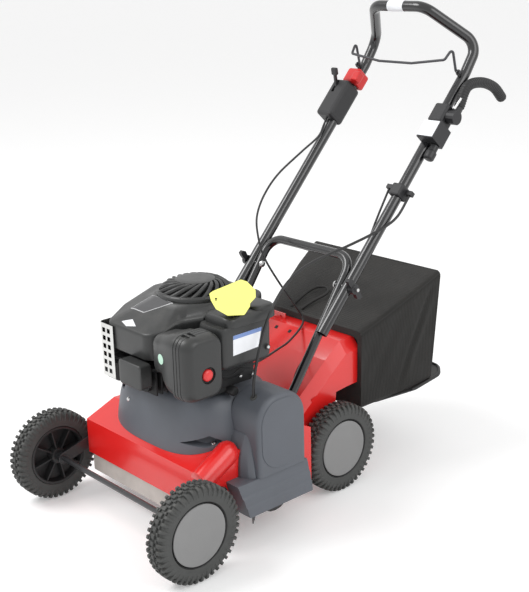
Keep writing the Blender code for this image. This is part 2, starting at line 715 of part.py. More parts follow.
for name, side in (("rotor_bearing_left", 1), ("rotor_bearing_right", -1)):
    bore = ROTOR_SHAFT_R + GAP
    inner, outer = GAP, BEARING_W - GAP
    turned(name, [(0.016, outer), (0.016, 0.006), (BEARING_R, 0.004), (BEARING_R, inner),
                  (bore, inner), (bore, outer)],
           (side * DECK_HALF, rotor_axis.y, ROTOR_Z), "X" if side > 0 else "-X", 16, CAST_ALLOY,
           closed=True)


# Belt drive: crank pulley, two idlers that turn the belt down, and the rotor pulley
def seat_under(belt_r, steps):
    """Radius under a belt whose bend is drawn in so many steps to the half turn."""
    return (belt_r - BELT_T / 2) * cos(pi / steps / 2) - GAP


def pulley_profile(belt_r, bore, rim_half, steps):
    """Down the outer side of a grooved pulley and back up its bore."""
    groove = seat_under(belt_r, steps)
    side = BELT_W / 2 + GAP
    rim = belt_r + PULLEY_RIM - 0.001
    return [(rim, rim_half), (rim, side + 0.0006), (groove, side), (groove, -side),
            (rim, -side - 0.0006), (rim, -rim_half), (bore, -rim_half), (bore, rim_half)]


turned("rotor_pulley", pulley_profile(ROTOR_PULLEY_R, ROTOR_SHAFT_R + GAP, 0.0085, 8),
       (ROTOR_PULLEY_X, rotor_axis.y, ROTOR_Z), "X", 20, CAST_ALLOY, closed=True)
for name, side in (("idler_front", -1), ("idler_rear", 1)):
    face = seat_under(IDLER_R, 6)
    turned(name, [(face, IDLER_W / 2), (face, -IDLER_W / 2), (IDLER_PIN_R + GAP, -IDLER_W / 2),
                  (IDLER_PIN_R + GAP, IDLER_W / 2)],
           (idler_x, st(ROTOR_Y) + side * ROTOR_PULLEY_R, idler_z), "Y", 16, CAST_ALLOY,
           closed=True)

crank_low = CRANK_PULLEY_Z - 0.012
crank = turned("crankshaft", [(0, FLYWHEEL_Z + 0.040), (0.008, FLYWHEEL_Z + 0.040),
                              (0.008, FLYWHEEL_Z + 0.016), (CRANK_R, FLYWHEEL_Z + 0.016),
                              (CRANK_R, CRANK_PULLEY_Z + 0.0075)]
               + [(r, CRANK_PULLEY_Z + h) for r, h in
                  pulley_profile(CRANK_PULLEY_R, CRANK_R, 0.0075, 6)[:6]]
               + [(CRANK_R, CRANK_PULLEY_Z - 0.0075), (CRANK_R, crank_low), (0, crank_low)],
               (ENGINE_X, st(ENGINE_Y), 0), "Z", 20, STEEL)

flywheel = turned("flywheel", [(0.030, 0.012), (FLYWHEEL_R, 0.012), (FLYWHEEL_R, -0.008),
                               (CRANK_R + GAP, -0.008), (CRANK_R + GAP, 0.014), (0.030, 0.014)],
                  (ENGINE_X, st(ENGINE_Y), FLYWHEEL_Z), "Z", 20, closed=True)
for k in range(8):
    angle = 2 * pi * k / 8
    vane = box(f"fan_vane_{k}", (0.038, -0.0015, 0.011), (0.062, 0.0015, 0.026),
               turn=Matrix.Rotation(0.5, 4, "Z"))
    vane.rotation_euler = (0, 0, angle)
    vane.location = (ENGINE_X, st(ENGINE_Y), FLYWHEEL_Z)
    join(flywheel, vane)
baked(flywheel)
finish(flywheel, CAST_ALLOY)


def belt_ring(centre, along, out):
    """The belt's section, square to its run, with its thickness along out."""
    along, out = Vector(along).normalized(), Vector(out).normalized()
    across = along.cross(out).normalized()
    out = across.cross(along).normalized()
    corners = ((-1, -1), (1, -1), (1, 1), (-1, 1))
    return [Vector(centre) + across * (a * BELT_W / 2) + out * (b * BELT_T / 2)
            for a, b in corners]


belt_rings = []
y_mid = st(ROTOR_Y)
for k in range(7):
    angle = pi / 2 + pi * k / 6
    out = Vector((cos(angle), sin(angle), 0))
    centre = Vector((ENGINE_X, y_mid, CRANK_PULLEY_Z)) + out * CRANK_PULLEY_R
    belt_rings.append(belt_ring(centre, (-sin(angle), cos(angle), 0), out))
for t in (0.35, 0.65):
    out = Vector((0, -cos(t * pi / 2), sin(t * pi / 2)))
    y = -CRANK_PULLEY_R - (ROTOR_PULLEY_R - CRANK_PULLEY_R) * t
    belt_rings.append(belt_ring((idler_x * t, y_mid + y, CRANK_PULLEY_Z), (1, 0, 0), out))
for k in range(4):
    angle = pi / 2 - pi / 2 * k / 3
    out = Vector((cos(angle), 0, sin(angle)))
    centre = Vector((idler_x, y_mid - ROTOR_PULLEY_R, idler_z)) + out * IDLER_R
    belt_rings.append(belt_ring(centre, (sin(angle), 0, -cos(angle)), out))
for t in (0.4, 0.7):
    out = Vector((cos(t * pi / 2), -sin(t * pi / 2), 0))
    z = idler_z + (ROTOR_Z - idler_z) * t
    belt_rings.append(belt_ring((ROTOR_PULLEY_X, y_mid - ROTOR_PULLEY_R, z), (0, 0, -1), out))
for k in range(9):
    angle = pi + pi * k / 8
    out = Vector((0, cos(angle), sin(angle)))
    centre = Vector((ROTOR_PULLEY_X, y_mid, ROTOR_Z)) + out * ROTOR_PULLEY_R
    belt_rings.append(belt_ring(centre, (0, -sin(angle), cos(angle)), out))
for t in (0.3, 0.6):
    out = Vector((sin(t * pi / 2), cos(t * pi / 2), 0))
    z = ROTOR_Z + (idler_z - ROTOR_Z) * t
    belt_rings.append(belt_ring((ROTOR_PULLEY_X, y_mid + ROTOR_PULLEY_R, z), (0, 0, 1), out))
for k in range(4):
    angle = pi / 2 * k / 3
    out = Vector((cos(angle), 0, sin(angle)))
    centre = Vector((idler_x, y_mid + ROTOR_PULLEY_R, idler_z)) + out * IDLER_R
    belt_rings.append(belt_ring(centre, (-sin(angle), 0, cos(angle)), out))
for t in (0.35, 0.65):
    out = Vector((0, sin(t * pi / 2), cos(t * pi / 2)))
    y = ROTOR_PULLEY_R - (ROTOR_PULLEY_R - CRANK_PULLEY_R) * t
    belt_rings.append(belt_ring((idler_x * (1 - t), y_mid + y, CRANK_PULLEY_Z), (-1, 0, 0), out))
belt_rings.append(belt_rings[0])
belt = loft("drive_belt", belt_rings, None, (0, 0, 0), False, False)
closing = bmesh.new()
closing.from_mesh(belt.data)
bmesh.ops.remove_doubles(closing, verts=closing.verts, dist=0.00001)
bmesh.ops.recalc_face_normals(closing, faces=closing.faces)
closing.to_mesh(belt.data)
closing.free()
finish(belt, CABLE_BLACK)


# Plinth: the moulded cowl between the deck and the engine, open inside for the belt
def plinth_outline(within=0.0):
    """The plinth's outer rings from its foot up, drawn in by a margin."""
    return [squircle((0, st(PLINTH_Y)), PLINTH_HALF_X - inset - within,
                     PLINTH_HALF_Y - inset - within, z, PLINTH_POWER, 32)
            for z, inset in ((DECK_TOP - 0.045, -0.004), (0.245, 0.006), (0.284, 0.018),
                             (0.296, 0.026), (PLINTH_TOP, 0.040))]


plinth = hollow(loft("engine_plinth", plinth_outline(), cap_low=False), PLINTH_WALL)
cut(plinth, box("engine_foot_cut", (ENGINE_X - 0.1005, st(ENGINE_Y - 0.1005), PLINTH_TOP - 0.03),
                (ENGINE_X + 0.1005, st(ENGINE_Y + 0.1005), PLINTH_TOP + 0.03), round_by=0.02,
                edges="Z"))
cut(plinth, box("belt_way_cut", (PLINTH_HALF_X - 0.058, st(ROTOR_Y) - 0.046, DECK_TOP - 0.06),
                (PLINTH_HALF_X + 0.042, st(ROTOR_Y) + 0.046, 0.262)))
deck_line = [(0.0, PANEL_TOP - 0.0265), (PANEL_Y, PANEL_TOP), (DECK_RISE_Y, DECK_TOP),
             (DECK_FALL_Y, DECK_TOP), (DECK_END_Y, DECK_END_Z), (0.5, DECK_END_Z)]
deck_line = [(st(y), z + GAP + 0.0001) for y, z in deck_line]
cut(plinth, outline_plate("deck_clearance", deck_line + [(st(0.5), 0.05), (st(0), 0.05)],
                          -SKIRT_OUT_X, SKIRT_OUT_X))
cut(plinth, loft("shoulder_clearance", shoulder_rings(SHOULDER_R + 0.0025)))
pocket = box("pocket_wall", (PLINTH_HALF_X - 0.069, st(0.064), 0.211),
             (PLINTH_HALF_X - 0.025, st(0.132), 0.249), round_by=0.006)
combine(pocket, loft("plinth_inside", plinth_outline(0.001)), "INTERSECT")
join(plinth, baked(pocket))
cut(plinth, box("screw_pocket", (PLINTH_HALF_X - 0.066, st(0.060), 0.214),
                (PLINTH_HALF_X - 0.028, st(0.128), 0.246), round_by=0.006))
baked(plinth)
finish(plinth, GREY_PLASTIC)

# Side skirt: the ledged moulding along the near side, over the rotor pulley
skirt_line = [(DECK_HALF + GAP, SKIRT_TOP), (COVER_OUT_X - 0.004, SKIRT_TOP),
              (COVER_OUT_X + 0.002, 0.124), (COVER_OUT_X + 0.0055, 0.120),
              (COVER_OUT_X + 0.0075, 0.102), (SKIRT_OUT_X - 0.002, 0.098), (SKIRT_OUT_X, SKIRT_LOW)]
wall = COVER_WALL
skirt_inner = [(SKIRT_OUT_X - wall, SKIRT_LOW), (SKIRT_OUT_X - 0.002 - wall, 0.096),
               (COVER_OUT_X - wall + 0.002, SKIRT_TOP - wall - 0.02),
               (COVER_OUT_X - wall - 0.004, SKIRT_TOP - wall), (DECK_HALF + GAP, SKIRT_TOP - wall)]
skirt = outline_plate("side_skirt", [(x, z) for x, z in skirt_line + skirt_inner],
                      st(SKIRT_FRONT_Y), st(SKIRT_BACK_Y), "Y")
for name, edge, inward in (("front", SKIRT_FRONT_Y, wall), ("back", SKIRT_BACK_Y, -wall)):
    low, high = sorted((st(edge), st(edge + inward)))
    inner_edge = [(DECK_HALF + GAP, SKIRT_LOW)]
    end_plate = outline_plate(f"skirt_end_{name}", skirt_line + inner_edge, low, high, "Y")
    join(skirt, end_plate)
cut(skirt, box("belt_drop_cut", (DECK_HALF - 0.01, st(COVER_FRONT_Y) + 0.005, SKIRT_TOP - 0.02),
               (COVER_OUT_X - 0.008, st(COVER_BACK_Y) - 0.005, SKIRT_TOP + 0.02)))
cut(skirt, box("skirt_front_slant", (DECK_HALF - 0.01, st(0.08), 0.0),
               (SKIRT_OUT_X + 0.04, st(SKIRT_FRONT_Y + 0.02), 0.10),
               turn=Matrix.Rotation(radians(-18), 4, "X")))
baked(skirt)
finish(skirt, GREY_PLASTIC)

# Belt cover: the tall rounded bulge over the idlers, open below and towards the plinth
cover_outline = rounded([(0, st(COVER_FRONT_Y), SKIRT_TOP + GAP), (0, st(COVER_FRONT_Y), COVER_TOP),
                         (0, st(COVER_BACK_Y), COVER_TOP), (0, st(COVER_BACK_Y), SKIRT_TOP + GAP)],
                        0.050, 5)
bm = bmesh.new()
middle_y = (st(COVER_FRONT_Y) + st(COVER_BACK_Y)) / 2
rows = []
for x, inset in ((COVER_IN_X, 0.0), (COVER_OUT_X - 0.016, 0.0), (COVER_OUT_X - 0.005, 0.004),
                 (COVER_OUT_X, 0.014)):
    row = []
    for p in cover_outline:
        y = middle_y + (p.y - middle_y) * (1 - inset / 0.065)
        z = p.z if p.z <= SKIRT_TOP + 2 * GAP else SKIRT_TOP + (p.z - SKIRT_TOP) * (1 - inset / 0.166)
        row.append(bm.verts.new((x, y, z)))
    rows.append(row)
for a, b in zip(rows, rows[1:]):
    for i in range(len(a) - 1):
        bm.faces.new((a[i], a[i + 1], b[i + 1], b[i]))
bm.faces.new(rows[-1])
cover = hollow(from_bmesh("belt_cover", bm), COVER_WALL)
grow = 0.0008
clear_rings = [[(x, y, z) for x, y, z in squircle((0, st(PLINTH_Y)), PLINTH_HALF_X - inset + grow,
                                                  PLINTH_HALF_Y - inset + grow, z, PLINTH_POWER, 32)]
               for z, inset in ((DECK_TOP - 0.060, -0.005), (0.245, 0.006), (0.284, 0.018),
                                (0.296, 0.026), (PLINTH_TOP + 0.001, 0.040), (0.33, 0.05))]
cut(cover, loft("plinth_clearance", clear_rings))
cut(cover, box("deck_corner_clearance", (DECK_HALF - 0.1, st(0.1), 0.10),
               (DECK_HALF + GAP, st(0.4), DECK_TOP + GAP)))
cable_hole = (COVER_OUT_X - 0.041, st(0.232))
cut(cover, rod("clutch_cable_cut", (cable_hole[0], cable_hole[1], COVER_TOP - 0.02),
               (cable_hole[0], cable_hole[1], COVER_TOP + 0.02), 0.006, sides=10))
baked(cover)
finish(cover, GREY_PLASTIC)


# Engine block: crankcase with the finned cylinder towards the front
def housing_ring(grow, z=None, lift=0.0):
    """The blower housing's outline, grown outwards: level, or along its rising shoulder."""
    middle = Vector((ENGINE_X, st(ENGINE_Y), 0))
    corners = []
    for x, back in HOUSING_PLAN:
        corner = Vector((x, st(back), 0))
        corners.append(corner + (corner - middle).normalized() * grow)
    ring = []
    for p in rounded(corners, HOUSING_CORNER, 2, closed=True):
        rise = min(max((p.y - st(0.060)) / 0.140, 0.0), 1.0)
        shoulder = HOUSING_SHOULDER + SHOULDER_RISE * rise + lift
        ring.append(Vector((p.x, p.y, shoulder if z is None else z)))
    return ring


base = box("engine_block", (ENGINE_X - 0.088, st(ENGINE_Y) - 0.088, STAND_TOP + GAP),
           (ENGINE_X + 0.088, st(ENGINE_Y) + 0.088, BLOCK_TOP - 0.006), round_by=0.02, edges="Z")
join(base, box("cylinder", (-0.042, st(0.062), 0.306), (0.042, st(0.150), BLOCK_TOP - 0.010),
               round_by=0.012, edges="Y"))
for k in range(5):
    y = 0.070 + 0.013 * k
    join(base, box(f"fin_{k}", (-0.056, st(y), 0.302), (0.056, st(y + 0.004), BLOCK_TOP - 0.004)))
base_plate = [housing_ring(-0.005, z) for z in (BLOCK_TOP - 0.0055, HOUSING_LOW - GAP)]
join(base, loft("blower_base_plate", base_plate))
cut(base, box("plate_side_cut", (TANK_IN_X - GAP, st(0.02), BLOCK_TOP - 0.01),
              (TANK_IN_X + 0.05, st(0.40), HOUSING_LOW + 0.01)))
cut(base, rod("crank_bore", (ENGINE_X, st(ENGINE_Y), 0.25), (ENGINE_X, st(ENGINE_Y), 0.40),
              CRANK_R + RUN, sides=20))
baked(base)
finish(base, CAST_ALLOY)

# Blower housing: the black moulded shroud over the flywheel and the cylinder
lower_edge = []
for p in housing_ring(0.0, HOUSING_LOW):
    at_front = min(max((st(0.105) - p.y) / 0.030, 0.0), 1.0)
    lower_edge.append(p + Vector((0, 0, HOUSING_MOUTH * at_front)))
housing_rings = [lower_edge, housing_ring(0.0, lift=-0.010), housing_ring(-0.003),
                 housing_ring(-0.011, lift=0.003)]
for size, drop in ((0.010, 0.005), (0.006, 0.0)):
    collar = []
    for p in housing_ring(0.0, HOUSING_TOP - drop):
        turn_by = atan2(p.y - st(ENGINE_Y), p.x - ENGINE_X)
        collar.append((ENGINE_X + (GRILLE_R + size) * cos(turn_by),
                       st(ENGINE_Y) + (GRILLE_R + size) * sin(turn_by), p.z))
    housing_rings.append(collar)
housing = hollow(loft("blower_housing", housing_rings, cap_low=False), HOUSING_WALL)
cut(housing, rod("grille_cut", (ENGINE_X, st(ENGINE_Y), HOUSING_TOP - 0.02),
                 (ENGINE_X, st(ENGINE_Y), HOUSING_TOP + 0.02), GRILLE_R - 0.006, sides=20))
cut(housing, box("intake_side_cut", (TANK_IN_X - GAP, st(0.02), HOUSING_LOW - 0.01),
                 (TANK_IN_X + 0.05, st(0.40), HOUSING_TOP + 0.02)))
cut(housing, rod("rope_hole", (ROPE_X, st(0.32), ROPE_Z), (ROPE_X, st(0.37), ROPE_Z), 0.0035, sides=8))
baked(housing)
finish(housing, ENGINE_BLACK)

# Starter grille: a slotted dome on the housing
z = HOUSING_TOP + GAP
grille = turned("starter_grille",
                [(0, GRILLE_TOP), (0.050, GRILLE_TOP - 0.0005), (0.062, GRILLE_TOP - 0.006),
                 (0.074, GRILLE_TOP - 0.0165), (GRILLE_R, z + 0.0055), (GRILLE_R, z),
                 (GRILLE_R - 0.004, z), (GRILLE_R - 0.004, z + 0.0045), (0.072, GRILLE_TOP - 0.0187),
                 (0.060, GRILLE_TOP - 0.0085), (0.049, GRILLE_TOP - 0.003), (0, GRILLE_TOP - 0.0025)],
                (ENGINE_X, st(ENGINE_Y), 0), "Z", 20)
for k in range(GRILLE_SLOTS):
    slot = box(f"grille_slot_{k}", (0.036, -0.0035, 0.475), (0.0740, 0.0035, 0.52),
               turn=Matrix.Rotation(radians(28), 4, "Z"))
    slot.rotation_euler = (0, 0, 2 * pi * k / GRILLE_SLOTS)
    slot.location = (ENGINE_X, st(ENGINE_Y), 0)
    cut(grille, slot)
baked(grille)
finish(grille, ENGINE_BLACK)

# Fuel tank with its overhanging lid, its cap and the tag that hangs over the cap
tank = box("fuel_tank", (TANK_IN_X + 0.004, st(TANK_FRONT_Y), TANK_LOW),
           (TANK_OUT_X - 0.003, st(TANK_BACK_Y), TANK_SEAM + 0.002), round_by=0.014, round_steps=2)
join(tank, box("tank_lid", (TANK_IN_X, st(LID_Y[0]), TANK_SEAM), (TANK_OUT_X, st(LID_Y[1]), TANK_TOP),
               round_by=0.010))
join(tank, rod("filler_neck", (CAP_X, st(CAP_Y), TANK_TOP - 0.01), (CAP_X, st(CAP_Y), TANK_TOP + 0.004),
               CAP_R - 0.004, sides=16))
join(tank, box("tank_foot", (TANK_IN_X - 0.010, st(TANK_FOOT_Y) - 0.035, HOUSING_LOW),
               (TANK_IN_X + 0.020, st(TANK_FOOT_Y) + 0.035, TANK_LOW + 0.008)))
baked(tank)
finish(tank, ENGINE_BLACK)
cap_low = TANK_TOP + GAP
turned("fuel_cap", [(0, cap_low + CAP_H), (CAP_R - 0.003, cap_low + CAP_H), (CAP_R, cap_low + CAP_H - 0.003),
                    (CAP_R, cap_low), (CAP_R - 0.0035, cap_low), (CAP_R - 0.0035, cap_low + 0.004 + GAP),
                    (0, cap_low + 0.004 + GAP)],
       (CAP_X, st(CAP_Y), 0), "Z", 16, ENGINE_BLACK)
cap_top = cap_low + CAP_H
tag_mid = Vector((CAP_X, st(CAP_Y), cap_top + tan(TAG_TILT) * (CAP_R - 0.003) + GAP / cos(TAG_TILT)))
tag_side = Vector((cos(TAG_HEADING), sin(TAG_HEADING), 0))
tag_down = Vector((sin(TAG_HEADING), -cos(TAG_HEADING), -tan(TAG_TILT)))
tag_low = [tag_mid + tag_side * across + tag_down * down for across, down in TAG_OUTLINE]
tag_up = tag_down.cross(tag_side).normalized() * TAG_T
tag = loft("cap_tag", [tag_low, [p + tag_up for p in tag_low]])
join(tag, rod("tag_tie", (CAP_X, st(CAP_Y), cap_top + GAP), tag_mid + tag_up / 2, 0.002, sides=8))
baked(tag)
finish(tag, TAG_YELLOW)

# Air cleaner: body, bulged cover and the primer bulb in its ring
cleaner_body = box("air_cleaner_body", (CLEANER_IN_X, st(CLEANER_FRONT_Y) + 0.005, CLEANER_LOW + 0.004),
                   (CLEANER_SPLIT_X - GAP, st(CLEANER_BACK_Y) - 0.002, CLEANER_TOP - 0.004), None,
                   round_by=0.018, round_steps=3, edges="X")
join(cleaner_body, box("cleaner_elbow", (CLEANER_ELBOW_X, st(0.053), HOUSING_LOW + 0.001),
                       (CLEANER_IN_X + 0.002, st(0.127), 0.441), round_by=0.014, round_steps=3))
baked(cleaner_body)
finish(cleaner_body, ENGINE_BLACK)
cover_rings = []
for x, front, back, edge in ((CLEANER_SPLIT_X, 0, 0, 0), (CLEANER_OUT_X - 0.018, 0.001, 0.001, 0.001),
                             (CLEANER_OUT_X - 0.007, 0.007, 0.003, 0.005),
                             (CLEANER_OUT_X, 0.018, 0.009, 0.013)):
    near, far = st(CLEANER_FRONT_Y + front), st(CLEANER_BACK_Y - back)
    low, high = CLEANER_LOW + edge, CLEANER_TOP - edge
    cover_rings.append(rounded([(x, near, low), (x, near, high), (x, far, high), (x, far, low)],
                               0.026 - edge, 3, closed=True))
cleaner = loft("air_cleaner_cover", cover_rings)
bulb_at = Vector((CLEANER_OUT_X, st(0.094), 0.378))
cut(cleaner, rod("bulb_seat", bulb_at - Vector((0.012, 0, 0)), bulb_at + Vector((0.01, 0, 0)),
                 BULB_R + RUN, sides=16))
baked(cleaner)
finish(cleaner, ENGINE_BLACK)
bulb_in = BULB_TRAVEL + 0.0015
turned("primer_bulb", [(0, 0.003), (BULB_R * 0.55, 0.0018), (BULB_R * 0.9, -0.0015), (BULB_R, -0.004),
                       (BULB_R, -0.012 + bulb_in), (0, -0.012 + bulb_in)],
       bulb_at, "X", 16, DARK_RED)

# Carburettor between the air cleaner and the tank, on the block
carb = box("carburettor", (0.0885, st(0.142), 0.306), (0.150, st(0.200), 0.349), round_by=0.008)
join(carb, rod("intake_stub", (0.130, st(0.160), 0.340),
               (0.130, st(CLEANER_BACK_Y) - 0.002 + GAP, 0.340), 0.012, sides=12))
join(carb, rod("float_bowl", (0.118, st(0.172), 0.3045), (0.118, st(0.172), 0.316), 0.018, sides=14))
baked(carb)
finish(carb, ENGINE_BLACK)

# Muffler with its perforated guard, on the far side of the cylinder
guard_y = GUARD_Y + GUARD_T / 2 + GAP
box("muffler", (GUARD_X[0] + 0.010, st(guard_y), 0.304), (-0.056 - GAP, st(0.134), BLOCK_TOP - 0.008),
    CAST_ALLOY, round_by=0.008)
guard_line = rounded([(GUARD_X[1], st(GUARD_Y), 0), (GUARD_X[0], st(GUARD_Y), 0),
                      (GUARD_X[0], st(0.104), 0)], 0.012, 4)
bm = bmesh.new()
low_row = [bm.verts.new((p.x, p.y, GUARD_LOW)) for p in guard_line]
high_row = [bm.verts.new((p.x, p.y, GUARD_TOP)) for p in guard_line]
for i in range(len(guard_line) - 1):
    bm.faces.new((low_row[i], low_row[i + 1], high_row[i + 1], high_row[i]))
guard = hollow(from_bmesh("muffler_guard", bm), GUARD_T, 0)
for row in range(6):
    for k in range(2):
        z = GUARD_LOW + 0.009 + 0.0175 * row
        x = GUARD_X[0] + 0.014 + 0.0165 * k
        cut(guard, box(f"guard_slot_{row}_{k}", (x, st(0.045), z), (x + 0.0105, st(0.065), z + 0.010)))
baked(guard)
finish(guard, STEEL)

# Square plug guard at the front of the cylinder
plug_guard = box("plug_guard", (-0.015, st(0.030), 0.324), (0.060, st(0.058), 0.376), round_by=0.006)
join(plug_guard, box("plug_neck", (-0.008, st(0.045), 0.328), (0.036, st(0.062) - GAP, 0.345)))
baked(plug_guard)
finish(plug_guard, ENGINE_BLACK)

# Starter grip behind the housing, with its rope drawn in past the flywheel
grip_y = st(0.3478)
grip_at = Vector((ROPE_X, grip_y + 0.013, ROPE_Z))
grip = box("starter_grip", (grip_at.x - 0.045, grip_at.y - 0.008, grip_at.z - 0.009),
           (grip_at.x + 0.045, grip_at.y + 0.008, grip_at.z + 0.009), None, round_by=0.006, at=grip_at)
join(grip, rod("grip_ferrule", (ROPE_X, grip_y, ROPE_Z), grip_at, 0.007, sides=10))
join(grip, rod("starter_rope", grip_at - Vector((0, ROPE_LENGTH, 0)), grip_at, 0.002, sides=8))
baked(grip)
finish(grip, ENGINE_BLACK)

# Lower handle: an inverted U of tube from the deck brackets
foot_line = [foot + Vector((LOWER_X, 0, 0)) + lower_lean * 0.0005,
             Vector((LOWER_X, st(LOWER_TOP_Y), LOWER_TOP_Z)),
             Vector((-LOWER_X, st(LOWER_TOP_Y), LOWER_TOP_Z)),
             foot + Vector((-LOWER_X, 0, 0)) + lower_lean * 0.0005]
fold_axis = Vector((0, st(FOLD_Y), FOLD_Z))
lower_handle = tube("lower_handle", rounded(foot_line, 0.040, 3), LOWER_R, fineness=2,
                    wall=TUBE_WALL, at=fold_axis)
cut(lower_handle, rod("lower_bolt_cut", (-0.2, fold_axis.y, FOLD_Z), (0.2, fold_axis.y, FOLD_Z),
                      BOLT_R + GAP, sides=10))
baked(lower_handle)
finish(lower_handle, TUBE_BLACK)

# Upper handle: one bent tube, outside the lower one, with the grip loop and two tabs
half_loop = [on_slope(-UPPER_TAIL, 0, UPPER_X), on_slope(LOOP_BEND_ALONG, 0, UPPER_X),
             Vector((UPPER_X, st(LOOP_BACK[0]), LOOP_BACK[1])),
             Vector((LOOP_TOP_HALF, st(LOOP_TOP[0]), LOOP_TOP[1]))]
loop = half_loop + [Vector((-p.x, p.y, p.z)) for p in reversed(half_loop)]
upper_handle = tube("upper_handle", rounded(loop, 0.042, 3), UPPER_R, fineness=2, wall=TUBE_WALL,
                    at=fold_axis)
cut(upper_handle, rod("upper_bolt_cut", (-0.2, fold_axis.y, FOLD_Z), (0.2, fold_axis.y, FOLD_Z),
                      BOLT_R + GAP, sides=10))
for side in (1, -1):
    tab_x = side * UPPER_X
    tab_at = on_slope(BAIL_ALONG, BAIL_OFF, tab_x)
    tab_foot = on_slope(BAIL_ALONG, UPPER_R - 0.0008, tab_x)
    tab = rod(f"bail_tab_{side}", tab_at - Vector((0.0018, 0, 0)), tab_at + Vector((0.0018, 0, 0)), 0.007,
              sides=10)
    neck = box(f"bail_tab_neck_{side}", Vector((-0.0018, -0.007, -0.005)), Vector((0.0018, 0.007, 0.005)),
               turn=Matrix.Rotation(SLOPE, 4, "X"))
    neck.location = (tab_at + tab_foot) / 2
    join(upper_handle, tab, neck)
    cut(upper_handle, rod(f"bail_hole_{side}", tab_at - Vector((0.004, 0, 0)),
                          tab_at + Vector((0.004, 0, 0)), BAIL_R + 0.0006, sides=12))
baked(upper_handle)
finish(upper_handle, TUBE_BLACK)

# Fold bolts with dome heads inside, and the wing knobs outside
knob_in = UPPER_X + UPPER_R + GAP
for name, side in (("left", 1), ("right", -1)):
    head = LOWER_X - LOWER_R - GAP
    turned(f"fold_bolt_{name}",
           [(0, knob_in + 0.020), (BOLT_R, knob_in + 0.020), (BOLT_R, head), (0.0085, head),
            (0.0075, head - 0.004), (0, head - 0.0055)],
           (0, fold_axis.y, FOLD_Z), "X" if side > 0 else "-X", 12, STEEL)
    knob = turned(f"wing_knob_{name}", [(0.011, 0.012), (0.013, 0), (BOLT_R + GAP, 0),
                                        (BOLT_R + GAP, 0.012)],
                  (side * knob_in, fold_axis.y, FOLD_Z), "X" if side > 0 else "-X", 12, closed=True)
    for turn_by in (0, pi):
        wing = outline_plate(f"wing_{name}_{turn_by:.0f}",
                             [(0.009, -0.006), (0.022, -0.009), (0.030, -0.004), (0.030, 0.004),
                              (0.020, 0.006), (0.009, 0.006)], 0.002, 0.011)
        wing.rotation_euler = (turn_by - 0.9, 0, 0)
        wing.location = (side * knob_in if side > 0 else side * knob_in - 0.013, fold_axis.y, FOLD_Z)
        join(knob, wing)
    baked(knob)
    finish(knob, ENGINE_BLACK)


def slope_box(name, along, off, x, material=None, round_by=0.0, edges="all", at=(0, 0, 0)):
    """A box laid out on the handle: ranges along its slope, off it and across."""
    middle = on_slope(sum(along) / 2, sum(off) / 2, sum(x) / 2)
    half = Vector((x[1] - x[0], along[1] - along[0], off[1] - off[0])) / 2
    return box(name, middle - half, middle + half, material, round_by, 2, at,
               Matrix.Rotation(SLOPE, 4, "X"), edges)


def past(along, by=0.02):
    """A range along the handle that runs on past both ends of a piece, for its bore."""
    return (along[0] - by, along[1] + by)


def slope_rod(name, along, off, x, radius, material=None, sides=12, at=(0, 0, 0)):
    """A round bar that lies along the handle's slope."""
    return rod(name, on_slope(along[0], off, x), on_slope(along[1], off, x), radius, material,
               sides, at)


# Bail: a bent wire whose ends are hooked through tabs welded to the tubes
pivot = on_slope(BAIL_ALONG, BAIL_OFF)
hook = UPPER_X + 0.0065
wire_x = UPPER_X - 0.0065
wire_half = [Vector((hook, pivot.y, pivot.z)), Vector((wire_x, pivot.y, pivot.z)),
             Vector((wire_x, pivot.y - 0.014, pivot.z + 0.054)),
             Vector((wire_x - 0.006, pivot.y - 0.034, pivot.z + 0.030)),
             Vector((0.050, pivot.y - 0.039, pivot.z + 0.018))]
wire = wire_half + [Vector((-p.x, p.y, p.z)) for p in reversed(wire_half)]
tube("bail", rounded(wire, 0.005, 2), BAIL_R, TUBE_BLACK, 2, at=pivot)

# Throttle: a moulded box round the far tube, with a lever in its slot
box_x = (-UPPER_X - 0.034, -UPPER_X + 0.0165)
throttle = slope_box("throttle_box", THROTTLE_ALONG, (-0.017, 0.036), box_x, None, 0.008)
cut(throttle, slope_rod("throttle_bore", past(THROTTLE_ALONG), 0, -UPPER_X, UPPER_R + GAP,
                        sides=16))
lever_at = on_slope(THROTTLE_ALONG[0] + 0.076, 0.024, -UPPER_X - 0.017)
lever_half = 0.0035
slot = slope_box("lever_slot", (THROTTLE_ALONG[0] + 0.064, THROTTLE_ALONG[0] + 0.098), (0.0145, 0.045),
                 (lever_at.x - lever_half - RUN, lever_at.x + lever_half + RUN))
cut(throttle, slot)
baked(throttle)
finish(throttle, ENGINE_BLACK)
lever = rod("throttle_lever", lever_at - Vector((lever_half, 0, 0)),
            lever_at + Vector((lever_half, 0, 0)), 0.0085, sides=16, at=lever_at)
tip = on_slope(THROTTLE_ALONG[0] + 0.105, 0.061, lever_at.x)
toward = tip - lever_at
stalk = box("lever_stalk", (-0.003, -0.0035, -toward.length / 2), (0.003, 0.0035, toward.length / 2),
            turn=Matrix.Rotation(-atan2(toward.y, toward.z), 4, "X"))
stalk.location = (lever_at + tip) / 2
pad = box("lever_pad", (-0.009, -0.0045, -0.009), (0.009, 0.0045, 0.009), round_by=0.003,
          turn=Matrix.Rotation(-atan2(toward.y, toward.z), 4, "X"))
pad.location = tip
join(lever, stalk, pad)
baked(lever)
finish(lever, ENGINE_BLACK)

